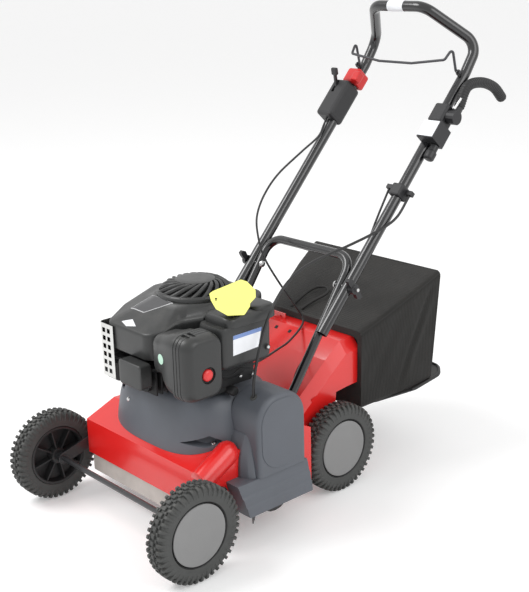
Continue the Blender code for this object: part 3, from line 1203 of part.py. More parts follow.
# Safety lock: a red latch that twists on the far tube
lock_at = on_slope(sum(LOCK_ALONG) / 2, 0, -UPPER_X)
lock = slope_box("safety_lock", LOCK_ALONG, (-0.018, 0.024), (-UPPER_X - 0.021, -UPPER_X + 0.019),
                 None, 0.005, at=lock_at)
join(lock, slope_box("lock_thumb", (LOCK_ALONG[0] + 0.001, LOCK_ALONG[1] - 0.012), (0.010, 0.030),
                     (-UPPER_X + 0.008, -UPPER_X + 0.030), None, 0.004))
cut(lock, slope_rod("lock_bore", past(LOCK_ALONG), 0, -UPPER_X, UPPER_R + RUN, sides=16))
baked(lock)
finish(lock, DARK_RED)

# Depth lever on its clamp, outside the near tube
clamp = slope_box("lever_bracket", CLAMP_ALONG, (-0.018, 0.022), (UPPER_X - 0.016, UPPER_X + 0.024),
                  None, 0.005)
cut(clamp, slope_rod("clamp_bore", past(CLAMP_ALONG), 0, UPPER_X, UPPER_R + GAP, sides=16))
depth_pivot = on_slope(sum(CLAMP_ALONG) / 2, 0.002, UPPER_X + 0.0355)
cut(clamp, rod("lever_pin_cut", depth_pivot - Vector((0.018, 0, 0)), depth_pivot + Vector((0.02, 0, 0)),
               0.004 + RUN, sides=12))
baked(clamp)
finish(clamp, ENGINE_BLACK)
hub_half = 0.011
arc = [depth_pivot, depth_pivot + Vector((0, 0.020, 0.022)), Vector((depth_pivot.x, st(0.868), 0.851)),
       Vector((depth_pivot.x, st(0.915), 0.857)), Vector((depth_pivot.x, st(0.965), 0.842)),
       Vector((depth_pivot.x, st(1.000), 0.812))]
depth_lever = tube("depth_lever", smooth_route(arc, 2), 0.0105, None, 2, at=depth_pivot)
join(depth_lever, rod("depth_lever_hub", depth_pivot - Vector((hub_half, 0, 0)),
                      depth_pivot + Vector((hub_half, 0, 0)), 0.016, sides=16))
join(depth_lever, rod("depth_lever_pin", depth_pivot - Vector((hub_half + 0.006, 0, 0)), depth_pivot,
                      0.004, sides=12))
baked(depth_lever)
finish(depth_lever, TUBE_BLACK)

# Depth scale box on the near tube, with the adjuster knob under its flange
scale_box = slope_box("depth_scale_box", SCALE_ALONG, (0.004, 0.032),
                      (UPPER_X - 0.010, UPPER_X + 0.016), None, 0.002)
join(scale_box, slope_box("scale_flange", (SCALE_ALONG[0] + 0.0005, SCALE_ALONG[1] + 0.0035),
                          (-0.012, 0.0335), (UPPER_X + UPPER_R + GAP, UPPER_X + 0.0385)))
cut(scale_box, slope_rod("scale_bore", past(SCALE_ALONG), 0, UPPER_X, UPPER_R + GAP, sides=16))
knob_x = UPPER_X + 0.0265
cut(scale_box, slope_rod("spindle_cut", (SCALE_ALONG[0] - 0.016, SCALE_ALONG[1] - 0.018), 0, knob_x,
                         0.004 + RUN, sides=10))
baked(scale_box)
finish(scale_box, ENGINE_BLACK)
knob_at = on_slope(SCALE_ALONG[0] + 0.0005 - RUN, 0, knob_x)
depth_knob = turned("depth_knob", [(0, 0.016), (0.004, 0.016), (0.004, 0), (0.0095, 0), (0.0095, -0.016),
                                   (0.0125, -0.017), (0.0125, -0.034), (0.009, -0.037), (0, -0.037)],
                    knob_at, "Z", 16, ENGINE_BLACK)
depth_knob.rotation_euler = (SLOPE - pi / 2, 0, 0)

# Cable clip on the near tube
clip = slope_box("cable_clip", CLIP_ALONG, (-0.016, 0.018), (UPPER_X - 0.0155, UPPER_X + 0.0155),
                 None, 0.004)
join(clip, slope_box("clip_lug_in", LUG_ALONG, (0.004, 0.016), (UPPER_X - 0.030, UPPER_X - 0.010)))
join(clip, slope_box("clip_lug_out", LUG_ALONG, (-0.012, 0.000), (UPPER_X + 0.010, UPPER_X + 0.032)))
cut(clip, slope_rod("clip_bore", past(CLIP_ALONG), 0, UPPER_X, UPPER_R + GAP, sides=16))
baked(clip)
finish(clip, ENGINE_BLACK)


# Cables
def cable(name, points, radius=0.0025):
    route = [Vector((x, st(y), z)) for x, y, z in points]
    tube(name, smooth_route(route, 2), radius, CABLE_BLACK, 1)


def station(along, off, x):
    """A cable point on the handle, as x, distance behind the front axle, height."""
    place = on_slope(along, off, x)
    return (place.x, place.y - FRONT_AXLE_Y, place.z)


cable("throttle_cable", [station(THROTTLE_ALONG[0] - 2 * GAP, 0.018, -UPPER_X - 0.006),
                         station(THROTTLE_ALONG[0] - 0.022, 0.018, -UPPER_X - 0.002),
                         station(THROTTLE_ALONG[0] - 0.057, 0.020, -0.151),
                         (-0.152, 0.680, 0.691), (-0.152, 0.604, 0.649), (-0.145, 0.552, 0.608),
                         (-0.130, 0.515, 0.567), (-0.110, 0.499, 0.526), (-0.090, 0.498, 0.480),
                         (-0.060, 0.513, 0.425), (-0.035, 0.539, 0.369), (-0.022, 0.553, 0.3345),
                         (-0.004, 0.530, 0.328), (0.044, 0.450, 0.325), (0.091, 0.380, 0.345),
                         (0.118, 0.320, 0.346), (0.130, 0.236, 0.333), (0.130, 0.201, 0.332)])
cable("clutch_cable", [station(LUG_ALONG[0] - GAP, -0.006, 0.180), station(0.187, -0.005, 0.178),
                       station(0.132, 0.023, 0.172), (0.172, 0.498, 0.551), (0.175, 0.450, 0.547),
                       (0.180, 0.372, 0.536), (0.187, 0.317, 0.518), (0.196, 0.275, 0.492),
                       (0.203, 0.247, 0.445), (0.206, 0.236, 0.378),
                       (COVER_OUT_X - 0.041, 0.232, COVER_TOP - 0.004)],
      0.003)
cable("depth_cable", [station(LUG_ALONG[0] - GAP, 0.010, 0.131), station(0.170, 0.004, 0.137),
                      station(0.120, -0.006, 0.1375), station(0.060, -0.024, 0.128),
                      (0.122, 0.500, 0.400), (0.118, 0.440, 0.322), (0.116, 0.405, 0.285),
                      (0.120, 0.385, 0.256), (0.1215, 0.3755, 0.2345)])

# Collector bag: a tapering bag on a hard base, open where the chute enters it
bag_rows = ((BAG_MOUTH_Y, BAG_MOUTH_Y, 0.152, 0.150, 0.150, 0.336),
            (0.630, 0.630, 0.170, 0.168, 0.161, 0.368),
            (0.700, 0.690, 0.190, 0.188, 0.173, 0.408),
            (BAG_REAR_Y, 0.752, BAG_REAR_HALF, 0.200, 0.187, BAG_REAR_TOP))


def bag_rings(inset):
    """Rounded cross sections of the bag, drawn in by an inset."""
    rings = []
    for k, (y_top, y_low, half_top, half_low, low, high) in enumerate(bag_rows):
        back = inset if k == 0 else (-inset if k == len(bag_rows) - 1 else 0)
        corners = [(-half_low + inset, st(y_low) + back, low + inset),
                   (half_low - inset, st(y_low) + back, low + inset),
                   (half_top - inset, st(y_top) + back, high - inset),
                   (-half_top + inset, st(y_top) + back, high - inset)]
        rings.append(rounded(corners, 0.010, 2, closed=True))
    return rings


bag = loft("collector_bag", bag_rings(0.0), at=(0, st(BAG_MOUTH_Y), 0.26))
base_line = [(-0.150, st(0.600)), (0.150, st(0.600)), (0.200, st(0.700)), (0.206, st(0.770)),
             (0.196, st(BAG_BASE_Y - 0.008)), (0.176, st(BAG_BASE_Y)), (-0.176, st(BAG_BASE_Y)),
             (-0.196, st(BAG_BASE_Y - 0.008)), (-0.206, st(0.770)), (-0.200, st(0.700))]
base = outline_plate("bag_base", base_line, -0.002, 0.002, "Z")
tilt = atan2(0.187 - 0.150, 0.752 - BAG_MOUTH_Y)
base.rotation_euler = (tilt, 0, 0)
base.location = (0, -st(0.600) * cos(tilt) + st(0.600), 0.1565 - st(0.600) * sin(tilt))
join(bag, base)
cut(bag, loft("bag_hollow", bag_rings(BAG_WALL)))
mouth_rings = []
for back in (-0.03, 0.03):
    ring = []
    for x, z in ((-1, CHUTE_STATIONS[4][1] - MOUTH_GAP), (1, CHUTE_STATIONS[4][1] - MOUTH_GAP),
                 (1, CHUTE_STATIONS[4][2] + GAP), (-1, CHUTE_STATIONS[4][2] + GAP)):
        ring.append((x * (CHUTE_HALF + MOUTH_GAP), st(BAG_MOUTH_Y) + back, z))
    mouth_rings.append(ring)
cut(bag, loft("bag_mouth_cut", mouth_rings))
baked(bag)
finish(bag, BAG_CLOTH)
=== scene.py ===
import bmesh
import bpy
from math import acos, cos, exp, pi, radians, sin, tan
from mathutils import Matrix, Vector
from mathutils.bvhtree import BVHTree


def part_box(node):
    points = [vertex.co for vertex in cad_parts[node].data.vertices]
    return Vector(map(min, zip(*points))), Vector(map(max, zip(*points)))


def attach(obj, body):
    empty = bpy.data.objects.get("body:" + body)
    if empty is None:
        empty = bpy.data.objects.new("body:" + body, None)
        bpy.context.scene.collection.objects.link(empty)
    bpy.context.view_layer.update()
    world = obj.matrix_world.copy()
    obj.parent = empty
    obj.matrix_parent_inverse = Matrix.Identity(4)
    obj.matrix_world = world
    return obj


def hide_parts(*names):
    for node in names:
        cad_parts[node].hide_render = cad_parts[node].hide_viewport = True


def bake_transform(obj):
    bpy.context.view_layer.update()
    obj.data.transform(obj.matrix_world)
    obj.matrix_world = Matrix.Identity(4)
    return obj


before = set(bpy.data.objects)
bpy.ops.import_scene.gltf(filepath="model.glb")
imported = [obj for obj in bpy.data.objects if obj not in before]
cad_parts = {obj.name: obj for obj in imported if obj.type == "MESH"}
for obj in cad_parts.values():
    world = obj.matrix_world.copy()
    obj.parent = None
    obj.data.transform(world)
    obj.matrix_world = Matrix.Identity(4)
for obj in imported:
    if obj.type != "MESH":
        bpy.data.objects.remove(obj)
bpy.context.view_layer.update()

# Camera
# It stands at the near front corner, a little above the engine, as the photograph was taken,
# with the lens that gives the photograph's frame.
view_from = Vector((1.7652, -1.6075, 1.1569))
view_azimuth = radians(48.3448)
view_elevation = radians(17.2486)
view_roll = radians(-1.4309)
backward = Vector((sin(view_azimuth) * cos(view_elevation),
    -cos(view_azimuth) * cos(view_elevation), sin(view_elevation)))
sideways = Vector((0, 0, 1)).cross(backward).normalized()
upward = backward.cross(sideways)
level = Matrix((sideways, upward, backward)).transposed().to_4x4()
eye = bpy.data.cameras.new("camera")
eye.lens = 67.986
eye.sensor_width = 36.0
camera = bpy.data.objects.new("camera", eye)
bpy.context.scene.collection.objects.link(camera)
camera.matrix_world = Matrix.Translation(view_from) @ level @ Matrix.Rotation(view_roll, 4, "Z")
bpy.context.scene.camera = camera


# Deck and chute
# The housing of the blades and the duct behind it are folded and welded from 2.5 mm steel
# and powder coated in one gloss red. Only their folds and cut edges catch the light.
def tone(red, green, blue):
    """A colour as a screen shows it, turned into the light values that a shader takes."""
    return (*[(c / 255 / 12.92) if c < 11 else ((c / 255 + 0.055) / 1.055) ** 2.4
        for c in (red, green, blue)], 1.0)


def shaded(colour, share):
    """The same colour, lighter or darker."""
    return (*[min(1.0, c * share) for c in colour[:3]], 1.0)


def wired(tree, made, sockets):
    """A node with its sockets set or linked."""
    for name, value in dict(sockets).items():
        if isinstance(value, bpy.types.NodeSocket):
            tree.links.new(value, made.inputs[name])
        else:
            made.inputs[name].default_value = value
    return made


def node(tree, kind, sockets=(), **settings):
    """A shader or geometry node with its settings, and its sockets set or linked."""
    made = tree.nodes.new(kind)
    for name, value in settings.items():
        setattr(made, name, value)
    return wired(tree, made, sockets)


def effect(name, takes, gives):
    """An empty shader group with number inputs and the outputs it gives."""
    tree = bpy.data.node_groups.new(name, "ShaderNodeTree")
    for label, value in takes.items():
        socket = tree.interface.new_socket(label, in_out="INPUT", socket_type="NodeSocketFloat")
        socket.default_value = value
    for label in gives:
        tree.interface.new_socket(label, in_out="OUTPUT", socket_type="NodeSocketFloat")
    return tree, tree.nodes.new("NodeGroupInput").outputs, tree.nodes.new("NodeGroupOutput")


def sums(tree, operation, first, second):
    """A Math node's result."""
    return node(tree, "ShaderNodeMath", {0: first, 1: second}, operation=operation).outputs[0]


def noise(tree, scale, detail, **more):
    """Noise over a piece's own coordinates."""
    place = node(tree, "ShaderNodeTexCoord").outputs["Object"]
    return node(tree, "ShaderNodeTexNoise", {"Vector": place, "Scale": scale, "Detail": detail,
        **more}).outputs["Fac"]


def ranged(tree, value, low, high):
    """0 at a low value and 1 at a high one."""
    return node(tree, "ShaderNodeMapRange", {"Value": value, "From Min": low,
        "From Max": high}).outputs["Result"]


def surface_grain():
    """Fine moulded or sprayed grain, and slow drifts of shade across a piece."""
    tree, given, put = effect("surface_grain", {"Grain size": 0.0005, "Drift size": 0.08},
        ("Height", "Drift"))
    fine = noise(tree, sums(tree, "DIVIDE", 1.0, given["Grain size"]), 2.0, Roughness=0.6)
    slow = noise(tree, sums(tree, "DIVIDE", 1.0, given["Drift size"]), 3.0, Roughness=0.55,
        Distortion=0.3)
    wired(tree, put, {"Height": fine, "Drift": ranged(tree, slow, 0.32, 0.68)})
    return tree


def settled_dust():
    """Where dust settles: on faces that look up, in soft patches."""
    tree, given, put = effect("settled_dust", {"Patch size": 0.03, "Cover": 0.3}, ("Mask",))
    facing = node(tree, "ShaderNodeSeparateXYZ", {"Vector": node(tree,
        "ShaderNodeNewGeometry").outputs["Normal"]}).outputs["Z"]
    patch = noise(tree, sums(tree, "DIVIDE", 1.0, given["Patch size"]), 5.0, Roughness=0.7)
    lying = sums(tree, "MULTIPLY", ranged(tree, facing, 0.3, 1.0), ranged(tree, patch, 0.4, 0.75))
    wired(tree, put, {"Mask": sums(tree, "MULTIPLY", lying, given["Cover"])})
    return tree


def painted_edge_highlights():
    """Painted highlight: narrow lighter lines along the outer edges, broken up by noise, that stand
    in for light caught on them.
    """
    tree, given, put = effect("painted_edge_highlights", {"Width": 0.001, "Amount": 0.5}, ("Mask",))
    real = node(tree, "ShaderNodeNewGeometry").outputs["Normal"]
    soft = node(tree, "ShaderNodeBevel", {"Radius": given["Width"]}, samples=4).outputs["Normal"]
    along = node(tree, "ShaderNodeVectorMath", {0: real, 1: soft}, operation="DOT_PRODUCT")
    edge = ranged(tree, along.outputs["Value"], 0.995, 0.9)
    lines = sums(tree, "MULTIPLY", edge, ranged(tree, noise(tree, 160.0, 3.0), 0.42, 0.62))
    wired(tree, put, {"Mask": sums(tree, "MULTIPLY", lines, given["Amount"])})
    return tree


GRAIN = surface_grain()
DUST = settled_dust()
EDGES = painted_edge_highlights()


def mixed(tree, factor, first, second):
    """A colour between two, by a factor."""
    return node(tree, "ShaderNodeMix", {0: factor, 6: first, 7: second},
        data_type="RGBA").outputs[2]


def finish(name, colour, rough, grain=0.0006, depth=0.00003, drift=0.09, vary=0.08, metallic=0.0,
        coat=0.0, dust=0.0, dust_tone=(176, 170, 160), edge_highlight=0.0, edge_highlight_tone=(150, 150, 150),
        spread=0.05):
    """A solid finish: its colour with slow drifts, grain in its gloss and bump, dust, and a painted
    highlight along its edges.
    """
    colour = tone(*colour)
    material = bpy.data.materials.new(name)
    material.use_nodes = True
    tree = material.node_tree
    grains = node(tree, "ShaderNodeGroup", {"Grain size": grain, "Drift size": drift},
        node_tree=GRAIN).outputs
    shade = mixed(tree, grains["Drift"], shaded(colour, 1 - vary), shaded(colour, 1 + vary))
    gloss = node(tree, "ShaderNodeMapRange", {"Value": grains["Drift"], "To Min": rough - spread,
        "To Max": rough + spread})
    # Painted highlight: the edges are mixed towards a lighter tone.
    if edge_highlight:
        edge_light = node(tree, "ShaderNodeGroup", {"Amount": edge_highlight}, node_tree=EDGES)
        shade = mixed(tree, edge_light.outputs["Mask"], shade, tone(*edge_highlight_tone))
    if dust:
        lying = node(tree, "ShaderNodeGroup", {"Cover": dust}, node_tree=DUST)
        shade = mixed(tree, lying.outputs["Mask"], shade, tone(*dust_tone))
    bump = node(tree, "ShaderNodeBump", {"Height": grains["Height"], "Distance": depth})
    wired(tree, tree.nodes["Principled BSDF"], {"Base Color": shade,
        "Roughness": gloss.outputs["Result"], "Normal": bump.outputs["Normal"],
        "Metallic": metallic, "Coat Weight": coat, "Coat Roughness": 0.12})
    return material


def dress(names, material, edge, steps=2):
    """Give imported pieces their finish, and round the edges that their solids leave sharp."""
    for name in names:
        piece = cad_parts[name]
        for place in piece.material_slots:
            place.material = material
        weld = piece.modifiers.new("weld", "WELD")
        weld.merge_threshold = 0.000002
        flat = piece.modifiers.new("whole faces", "DECIMATE")
        flat.decimate_type = "DISSOLVE"
        flat.angle_limit = radians(0.6)
        bevel = piece.modifiers.new("rounded edges", "BEVEL")
        bevel.width = edge
        bevel.segments = steps
        bevel.limit_method = "ANGLE"
        bevel.angle_limit = radians(38)
        bevel.harden_normals = True


red_paint = finish("red_powder_coat", (228, 36, 34), 0.26, grain=0.0012, depth=0.000012, vary=0.015,
    coat=0.35, spread=0.008)
dress(["deck"], red_paint, 0.0018, steps=3)
dress(["chute"], red_paint, 0.0012)

# Depth frame, rear axle and flap
# The front axle swings on two flat arms, and all of its bars are black painted steel. A strip of
# clear grey plastic hangs under the front panel and keeps stones in.
# The axle paint has a painted highlight along its edges.
axle_paint = finish("axle_paint", (40, 40, 42), 0.3, vary=0.1, coat=0.2, edge_highlight=0.4,
    edge_highlight_tone=(130, 130, 130))
dress(["front_axle", "rear_axle"], axle_paint, 0.0008)
flap_plastic = finish("flap_plastic", (186, 178, 172), 0.38, grain=0.002, depth=0.0001, vary=0.1,
    drift=0.04)
dress(["front_flap"], flap_plastic, 0.0006)


# Tyres
# Each tyre is moulded rubber on a narrow carcass. Its tread has a middle row of blocks, two rows
# of small ones, and tapered lugs that come over both shoulders on to the sidewall.
def piece_from(name, bm, material, slot=None, body="machine", smooth=35):
    """An object from a bmesh drawn in its place. With a slot, it's a finished piece: it rides its
    body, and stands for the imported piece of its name."""
    bmesh.ops.recalc_face_normals(bm, faces=bm.faces)
    mesh = bpy.data.meshes.new(name)
    bm.to_mesh(mesh)
    bm.free()
    mesh.materials.append(material)
    mesh.shade_smooth()
    mesh.set_sharp_from_angle(angle=radians(smooth))
    made = bpy.data.objects.new(name, mesh)
    bpy.context.scene.collection.objects.link(made)
    if slot:
        if body:
            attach(made, body)
        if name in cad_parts:
            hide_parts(name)
    return made


def skin(rings, closed=False):
    """A bmesh skin through rings of points, capped at both ends or closed into a ring."""
    bm = bmesh.new()
    rows = [[bm.verts.new(p) for p in ring] for ring in rings]
    pairs = list(zip(rows, rows[1:])) + ([(rows[-1], rows[0])] if closed else [])
    for low, high in pairs:
        for i in range(len(low)):
            j = (i + 1) % len(low)
            bm.faces.new((low[i], low[j], high[j], high[i]))
    if not closed:
        bm.faces.new(rows[0][::-1])
        bm.faces.new(rows[-1])
    return bm


def full_turn(count):
    """The angles of a full turn in even steps."""
    return [2 * pi * i / count for i in range(count)]


def spun(profile, centre, axis, steps=96, closed=True):
    """A bmesh turned round an axis, from (distance along it, radius) points."""
    turn = Vector((0, 0, 1)).rotation_difference(Vector(axis)).to_matrix()
    centre = Vector(centre)
    bm = bmesh.new()
    rows = [[bm.verts.new(centre + turn @ Vector((r * cos(a), r * sin(a), h))) for h, r in profile]
        for a in full_turn(steps)]
    for here, there in zip(rows, rows[1:] + rows[:1]):
        for k in range(len(profile) if closed else len(profile) - 1):
            m = (k + 1) % len(profile)
            bm.faces.new((here[k], here[m], there[m], there[k]))
    bmesh.ops.remove_doubles(bm, verts=bm.verts, dist=0.000001)
    return bm


def merged(bm, *others):
    """One bmesh of several."""
    for other in others:
        mesh = bpy.data.meshes.new("part")
        other.to_mesh(mesh)
        other.free()
        bm.from_mesh(mesh)
        bpy.data.meshes.remove(mesh)
    return bm


def row_tree():
    """Geometry Nodes: one piece repeated round an axis, added to what is there."""
    tree = bpy.data.node_groups.new("round_row", "GeometryNodeTree")
    for label, kind in (("Geometry", "Geometry"), ("Piece", "Object"), ("Count", "Int"),
            ("Centre", "Vector"), ("Axis", "Vector"), ("Start", "Float"), ("Finish", "Material")):
        tree.interface.new_socket(label, in_out="INPUT", socket_type="NodeSocket" + kind)
    tree.interface.new_socket("Geometry", in_out="OUTPUT", socket_type="NodeSocketGeometry")
    given = tree.nodes.new("NodeGroupInput").outputs
    put = tree.nodes.new("NodeGroupOutput")
    points = node(tree, "GeometryNodeMeshLine", {"Count": given["Count"], "Offset": (0, 0, 0)})
    index = node(tree, "GeometryNodeInputIndex").outputs["Index"]
    step = sums(tree, "DIVIDE", 2 * pi, given["Count"])
    angle = sums(tree, "ADD", sums(tree, "MULTIPLY", index, step), given["Start"])
    turn = node(tree, "FunctionNodeAxisAngleToRotation", {"Axis": given["Axis"], "Angle": angle})
    placed = node(tree, "GeometryNodeSetPosition", {"Geometry": points.outputs["Mesh"],
        "Position": given["Centre"]})
    shape = node(tree, "GeometryNodeObjectInfo", {"Object": given["Piece"]})
    many = node(tree, "GeometryNodeInstanceOnPoints",
        {"Points": placed.outputs["Geometry"], "Instance": shape.outputs["Geometry"],
        "Rotation": turn.outputs["Rotation"]})
    joined = node(tree, "GeometryNodeJoinGeometry")
    tree.links.new(given["Geometry"], joined.inputs[0])
    tree.links.new(many.outputs["Instances"], joined.inputs[0])
    real = node(tree, "GeometryNodeRealizeInstances", {"Geometry": joined.outputs[0]})
    done = node(tree, "GeometryNodeSetMaterial", {"Geometry": real.outputs[0],
        "Material": given["Finish"]})
    tree.links.new(done.outputs[0], put.inputs[0])
    return tree


ROUND_ROW = row_tree()


def repeated(base, shape, count, centre, axis, start=0.0):
    """Adds a row of a bmesh shape to an object's mesh, turned round an axis."""
    piece = piece_from("part", shape, base.data.materials[0])
    rows = base.modifiers.new("row", "NODES")
    rows.node_group = ROUND_ROW
    wanted = {"Piece": piece, "Count": count, "Centre": tuple(centre), "Axis": axis, "Start": start,
        "Finish": base.data.materials[0]}
    for socket in ROUND_ROW.interface.items_tree:
        if socket.in_out == "INPUT" and socket.name in wanted:
            rows[socket.identifier] = wanted[socket.name]
    bpy.context.view_layer.update()
    graph = bpy.context.evaluated_depsgraph_get()
    mesh = bpy.data.meshes.new_from_object(base.evaluated_get(graph))
    base.modifiers.remove(rows)
    base.data = mesh
    bpy.data.objects.remove(piece, do_unlink=True)


def worked(bm, bevel, steps=2):
    """Rounds a bmesh's sharp edges."""
    bmesh.ops.recalc_face_normals(bm, faces=bm.faces)
    sharp = [e for e in bm.edges if len(e.link_faces) == 2 and e.calc_face_angle() > radians(30)]
    bmesh.ops.bevel(bm, geom=sharp, offset=bevel, segments=steps, profile=0.5, affect="EDGES",
        clamp_overlap=True)
    return bm


SQUARE = ((-1, -1), (1, -1), (1, 1), (-1, 1))
wheel_r = 0.1
bead_r = 0.0663
tread_foot = 0.0935
lug_count = 44
lug_path = ((0.0221, 0.08, 0.023, 0.0806, 0.0016), (0.0212, 0.0868, 0.0229, 0.088, 0.0024),
    (0.0192, 0.0925, 0.0222, 0.095, 0.0031), (0.0155, 0.0945, 0.019, 0.099, 0.0036),
    (0.012, 0.0948, 0.0128, 0.0998, 0.0036))
tyre_half = ((0.0165, bead_r + 0.0004), (0.0196, bead_r + 0.0012), (0.0208, bead_r + 0.004),
    (0.0203, bead_r + 0.006), (0.0219, 0.079), (0.0219, 0.085), (0.0196, 0.0912), (0.015, 0.0944),
    (0.008, 0.0953))
tyre_section = [(-x, r) for x, r in tyre_half] + [(0, 0.0956), *reversed(tyre_half)]
tyre_rubber = finish("tyre_rubber", (66, 67, 66), 0.62, grain=0.0008, depth=0.00008, vary=0.14,
    drift=0.02, dust=0.35, dust_tone=(150, 148, 142))


def shoulder_lug(side):
    """A lug over one shoulder, drawn at the top of the wheel."""
    return worked(skin([[(side * x_in, -half, r_in - 0.001), (side * x_in, half, r_in - 0.001),
        (side * x_out, half - 0.0005, r_out), (side * x_out, -half + 0.0005, r_out)]
        for x_in, r_in, x_out, r_out, half in lug_path]), 0.0006, 1)


def tread_block(x, half_x, half_y, top):
    """A tapered block on the tread, drawn at the top of the wheel."""
    low = [(x + a * half_x, b * half_y, tread_foot) for a, b in SQUARE]
    high = [(x + (a - x) * 0.84, b * 0.84, top) for a, b, _ in low]
    return worked(skin([low, high]), 0.0007, 1)


wheels = {}
for corner in ("front_left", "front_right", "rear_left", "rear_right"):
    low, high = (Vector(p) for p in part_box(corner + "_tyre"))
    centre = wheels[corner] = (low + high) / 2
    tyre = piece_from(corner + "_tyre", spun(tyre_section, centre, (1, 0, 0), 88), tyre_rubber,
        "tyre_rubber", corner + "_wheel", 50)
    shapes = [(shoulder_lug(1), 0.0), (shoulder_lug(-1), 0.5),
        (tread_block(0, 0.0048, 0.005, wheel_r), 0.0)]
    shapes += [(tread_block(x, 0.0022, 0.0036, 0.0994), 0.5) for x in (0.0093, -0.0093)]
    for shape, offset in shapes:
        repeated(tyre, shape, lug_count, centre, (1, 0, 0), offset * (2 * pi / lug_count))
    tyre.data.shade_smooth()
    tyre.data.set_sharp_from_angle(angle=radians(40))

# Wheel centres
# A black moulded wheel with ribs turns on the axle, and a plain grey disc snaps over its outer
# side with a narrow dark gap round it.
hub_black = finish("wheel_black", (34, 34, 35), 0.48, vary=0.1)
hub_grey = finish("hub_grey", (132, 132, 132), 0.42, grain=0.0004, depth=0.00002, vary=0.03,
    drift=0.05)
axle_r = 0.0063
hub_profile = ((0.0165, 0.0646), (0.019, 0.0655), (0.02, bead_r), (-0.02, bead_r), (-0.0205, 0.064),
    (-0.02, 0.0605), (-0.002, 0.0585), (-0.0015, 0.019), (-0.0225, 0.0172), (-0.0225, axle_r),
    (0.012, axle_r), (0.012, 0.02), (0.002, 0.022), (0.0025, 0.06), (0.015, 0.062))
disc_profile = ((0.018, 0), (0.0183, 0.03), (0.0188, 0.056), (0.0196, 0.061), (0.019, 0.0628),
    (0.0172, 0.0632), (0.0166, 0.06), (0.016, 0.03), (0.0158, 0))
rib_profile = ((0.001, 0.0165), (-0.02, 0.0165), (-0.02, 0.0595), (0.001, 0.0595))
for corner, centre in wheels.items():
    side = 1 if "left" in corner else -1
    hub = piece_from(corner + "_hub", worked(spun(hub_profile, centre, (side, 0, 0)), 0.0006),
        hub_black, "hub_grey", corner + "_wheel")
    rib = skin([[(side * x, y, r) for x, r in rib_profile] for y in (-0.0014, 0.0014)])
    repeated(hub, worked(rib, 0.0004, 1), 8, centre, (1, 0, 0), 0.2)
    piece_from(corner + "_disc", spun(disc_profile, centre, (side, 0, 0), 96, False), hub_grey,
        "hub_grey", corner + "_wheel")

# Rotor, bearings, belt and pulleys
# The blades are stamped steel on one shaft in cast flange bearings. A rubber belt turns down
# from the crankshaft over two idlers to the rotor's own pulley.
# The blade steel has a strong painted highlight along its edges.
blade_steel = finish("blade_steel", (96, 96, 98), 0.42, grain=0.0012, depth=0.00008, vary=0.2,
    drift=0.015, metallic=0.85, edge_highlight=0.8, edge_highlight_tone=(200, 200, 200))
dress(["rotor"], blade_steel, 0.0006)
cast_metal = finish("cast_metal", (112, 112, 114), 0.55, grain=0.0012, depth=0.00015, vary=0.12,
    metallic=0.8)
dress(["rotor_bearing_left", "rotor_bearing_right", "idler_front", "idler_rear", "flywheel"],
    cast_metal, 0.0006)
# Painted shade: the rotor pulley gets a near-black colour that stands for the shadow it sits in
# under the skirt.
pulley_painted_shade = finish("pulley_painted_shade", (30, 30, 32), 0.45, grain=0.0012, depth=0.0001, vary=0.1)
dress(["rotor_pulley"], pulley_painted_shade, 0.0006)
shaft_steel = finish("shaft_steel", (170, 170, 170), 0.3, grain=0.003, depth=0.00002, metallic=1.0)
dress(["crankshaft"], shaft_steel, 0.0005)
belt_rubber = finish("belt_rubber", (28, 28, 29), 0.7, grain=0.0006, depth=0.0001)
dress(["drive_belt"], belt_rubber, 0.0008)


# Deck corner
# The sheet rolls over in a smooth bulge at the near front corner, where the cowl leaves the deck
# bare.
def st(back):
    """A distance behind the front axle, as the frame has it."""
    return round(back - 0.4537, 5)


def at(x, back, z):
    """A point by its place across, its distance behind the front axle and its height."""
    return Vector((x, st(back), z))


roll_x = 0.1874
roll_r = 0.0243
roll_rings = []
for back, lift, size in ((0.0664, 0.1572, 0.97), (0.0667, 0.1572, 1.0), (0.136, 0.197, 1.0),
        (0.143, 0.1996, 0.97), (0.15, 0.202, 0.86), (0.155, 0.204, 0.68), (0.158, 0.205, 0.45)):
    reach = roll_r * size
    roll_rings.append([Vector((roll_x + reach * cos(a), st(back) - 0.3 * reach * sin(a),
        lift + reach * sin(a))) for a in full_turn(64)])
piece_from("deck_corner", skin(roll_rings), red_paint, "red_paint", smooth=50)

# Chute fittings
# Two square slots are punched through the steel of the chute's slope. Each is shown by a thin
# near-black plate laid in the red surface: painted shade for the dark seen through the slot.
slot_painted_shade = finish("slot_painted_shade", (16, 16, 16), 0.7)
slot_half = 0.0042
chute_rise, chute_run = 0.608, 0.794
lift = Vector((0, -chute_rise, chute_run)) * 0.0006
slots = []
for x in (-0.076, -0.031):
    plate = [Vector((x + a * slot_half, st(0.5195) + b * slot_half * chute_run,
        0.3078 + b * slot_half * chute_rise)) for a, b in SQUARE]
    slots.append(skin([[p - lift for p in plate], [p + lift for p in plate]]))
piece_from("chute_slots", merged(*slots), slot_painted_shade, "red_paint")

# Plinth
# A cowl moulded in dark grey polypropylene with a fine spark texture stands between the deck and
# the engine. Its front has a slot for the deck screw and a recess over the near corner.
# The cowl plastic has a painted highlight along its edges, and dust on its upper faces.
cowl_plastic = finish("cowl_plastic", (90, 94, 101), 0.5, grain=0.0005, depth=0.00005, vary=0.06,
    dust=0.12, dust_tone=(140, 142, 146), edge_highlight=0.3, edge_highlight_tone=(130, 134, 142))


def oval(half_x, half_y, z):
    """A level ring between an ellipse and a rectangle."""
    ring = []
    for angle in full_turn(128):
        c, s = cos(angle), sin(angle)
        reach = (abs(c) ** 3.0 + abs(s) ** 3.0) ** (-1 / 3.0)
        ring.append(Vector((half_x * reach * c, st(0.21) + half_y * reach * s, z)))
    return ring


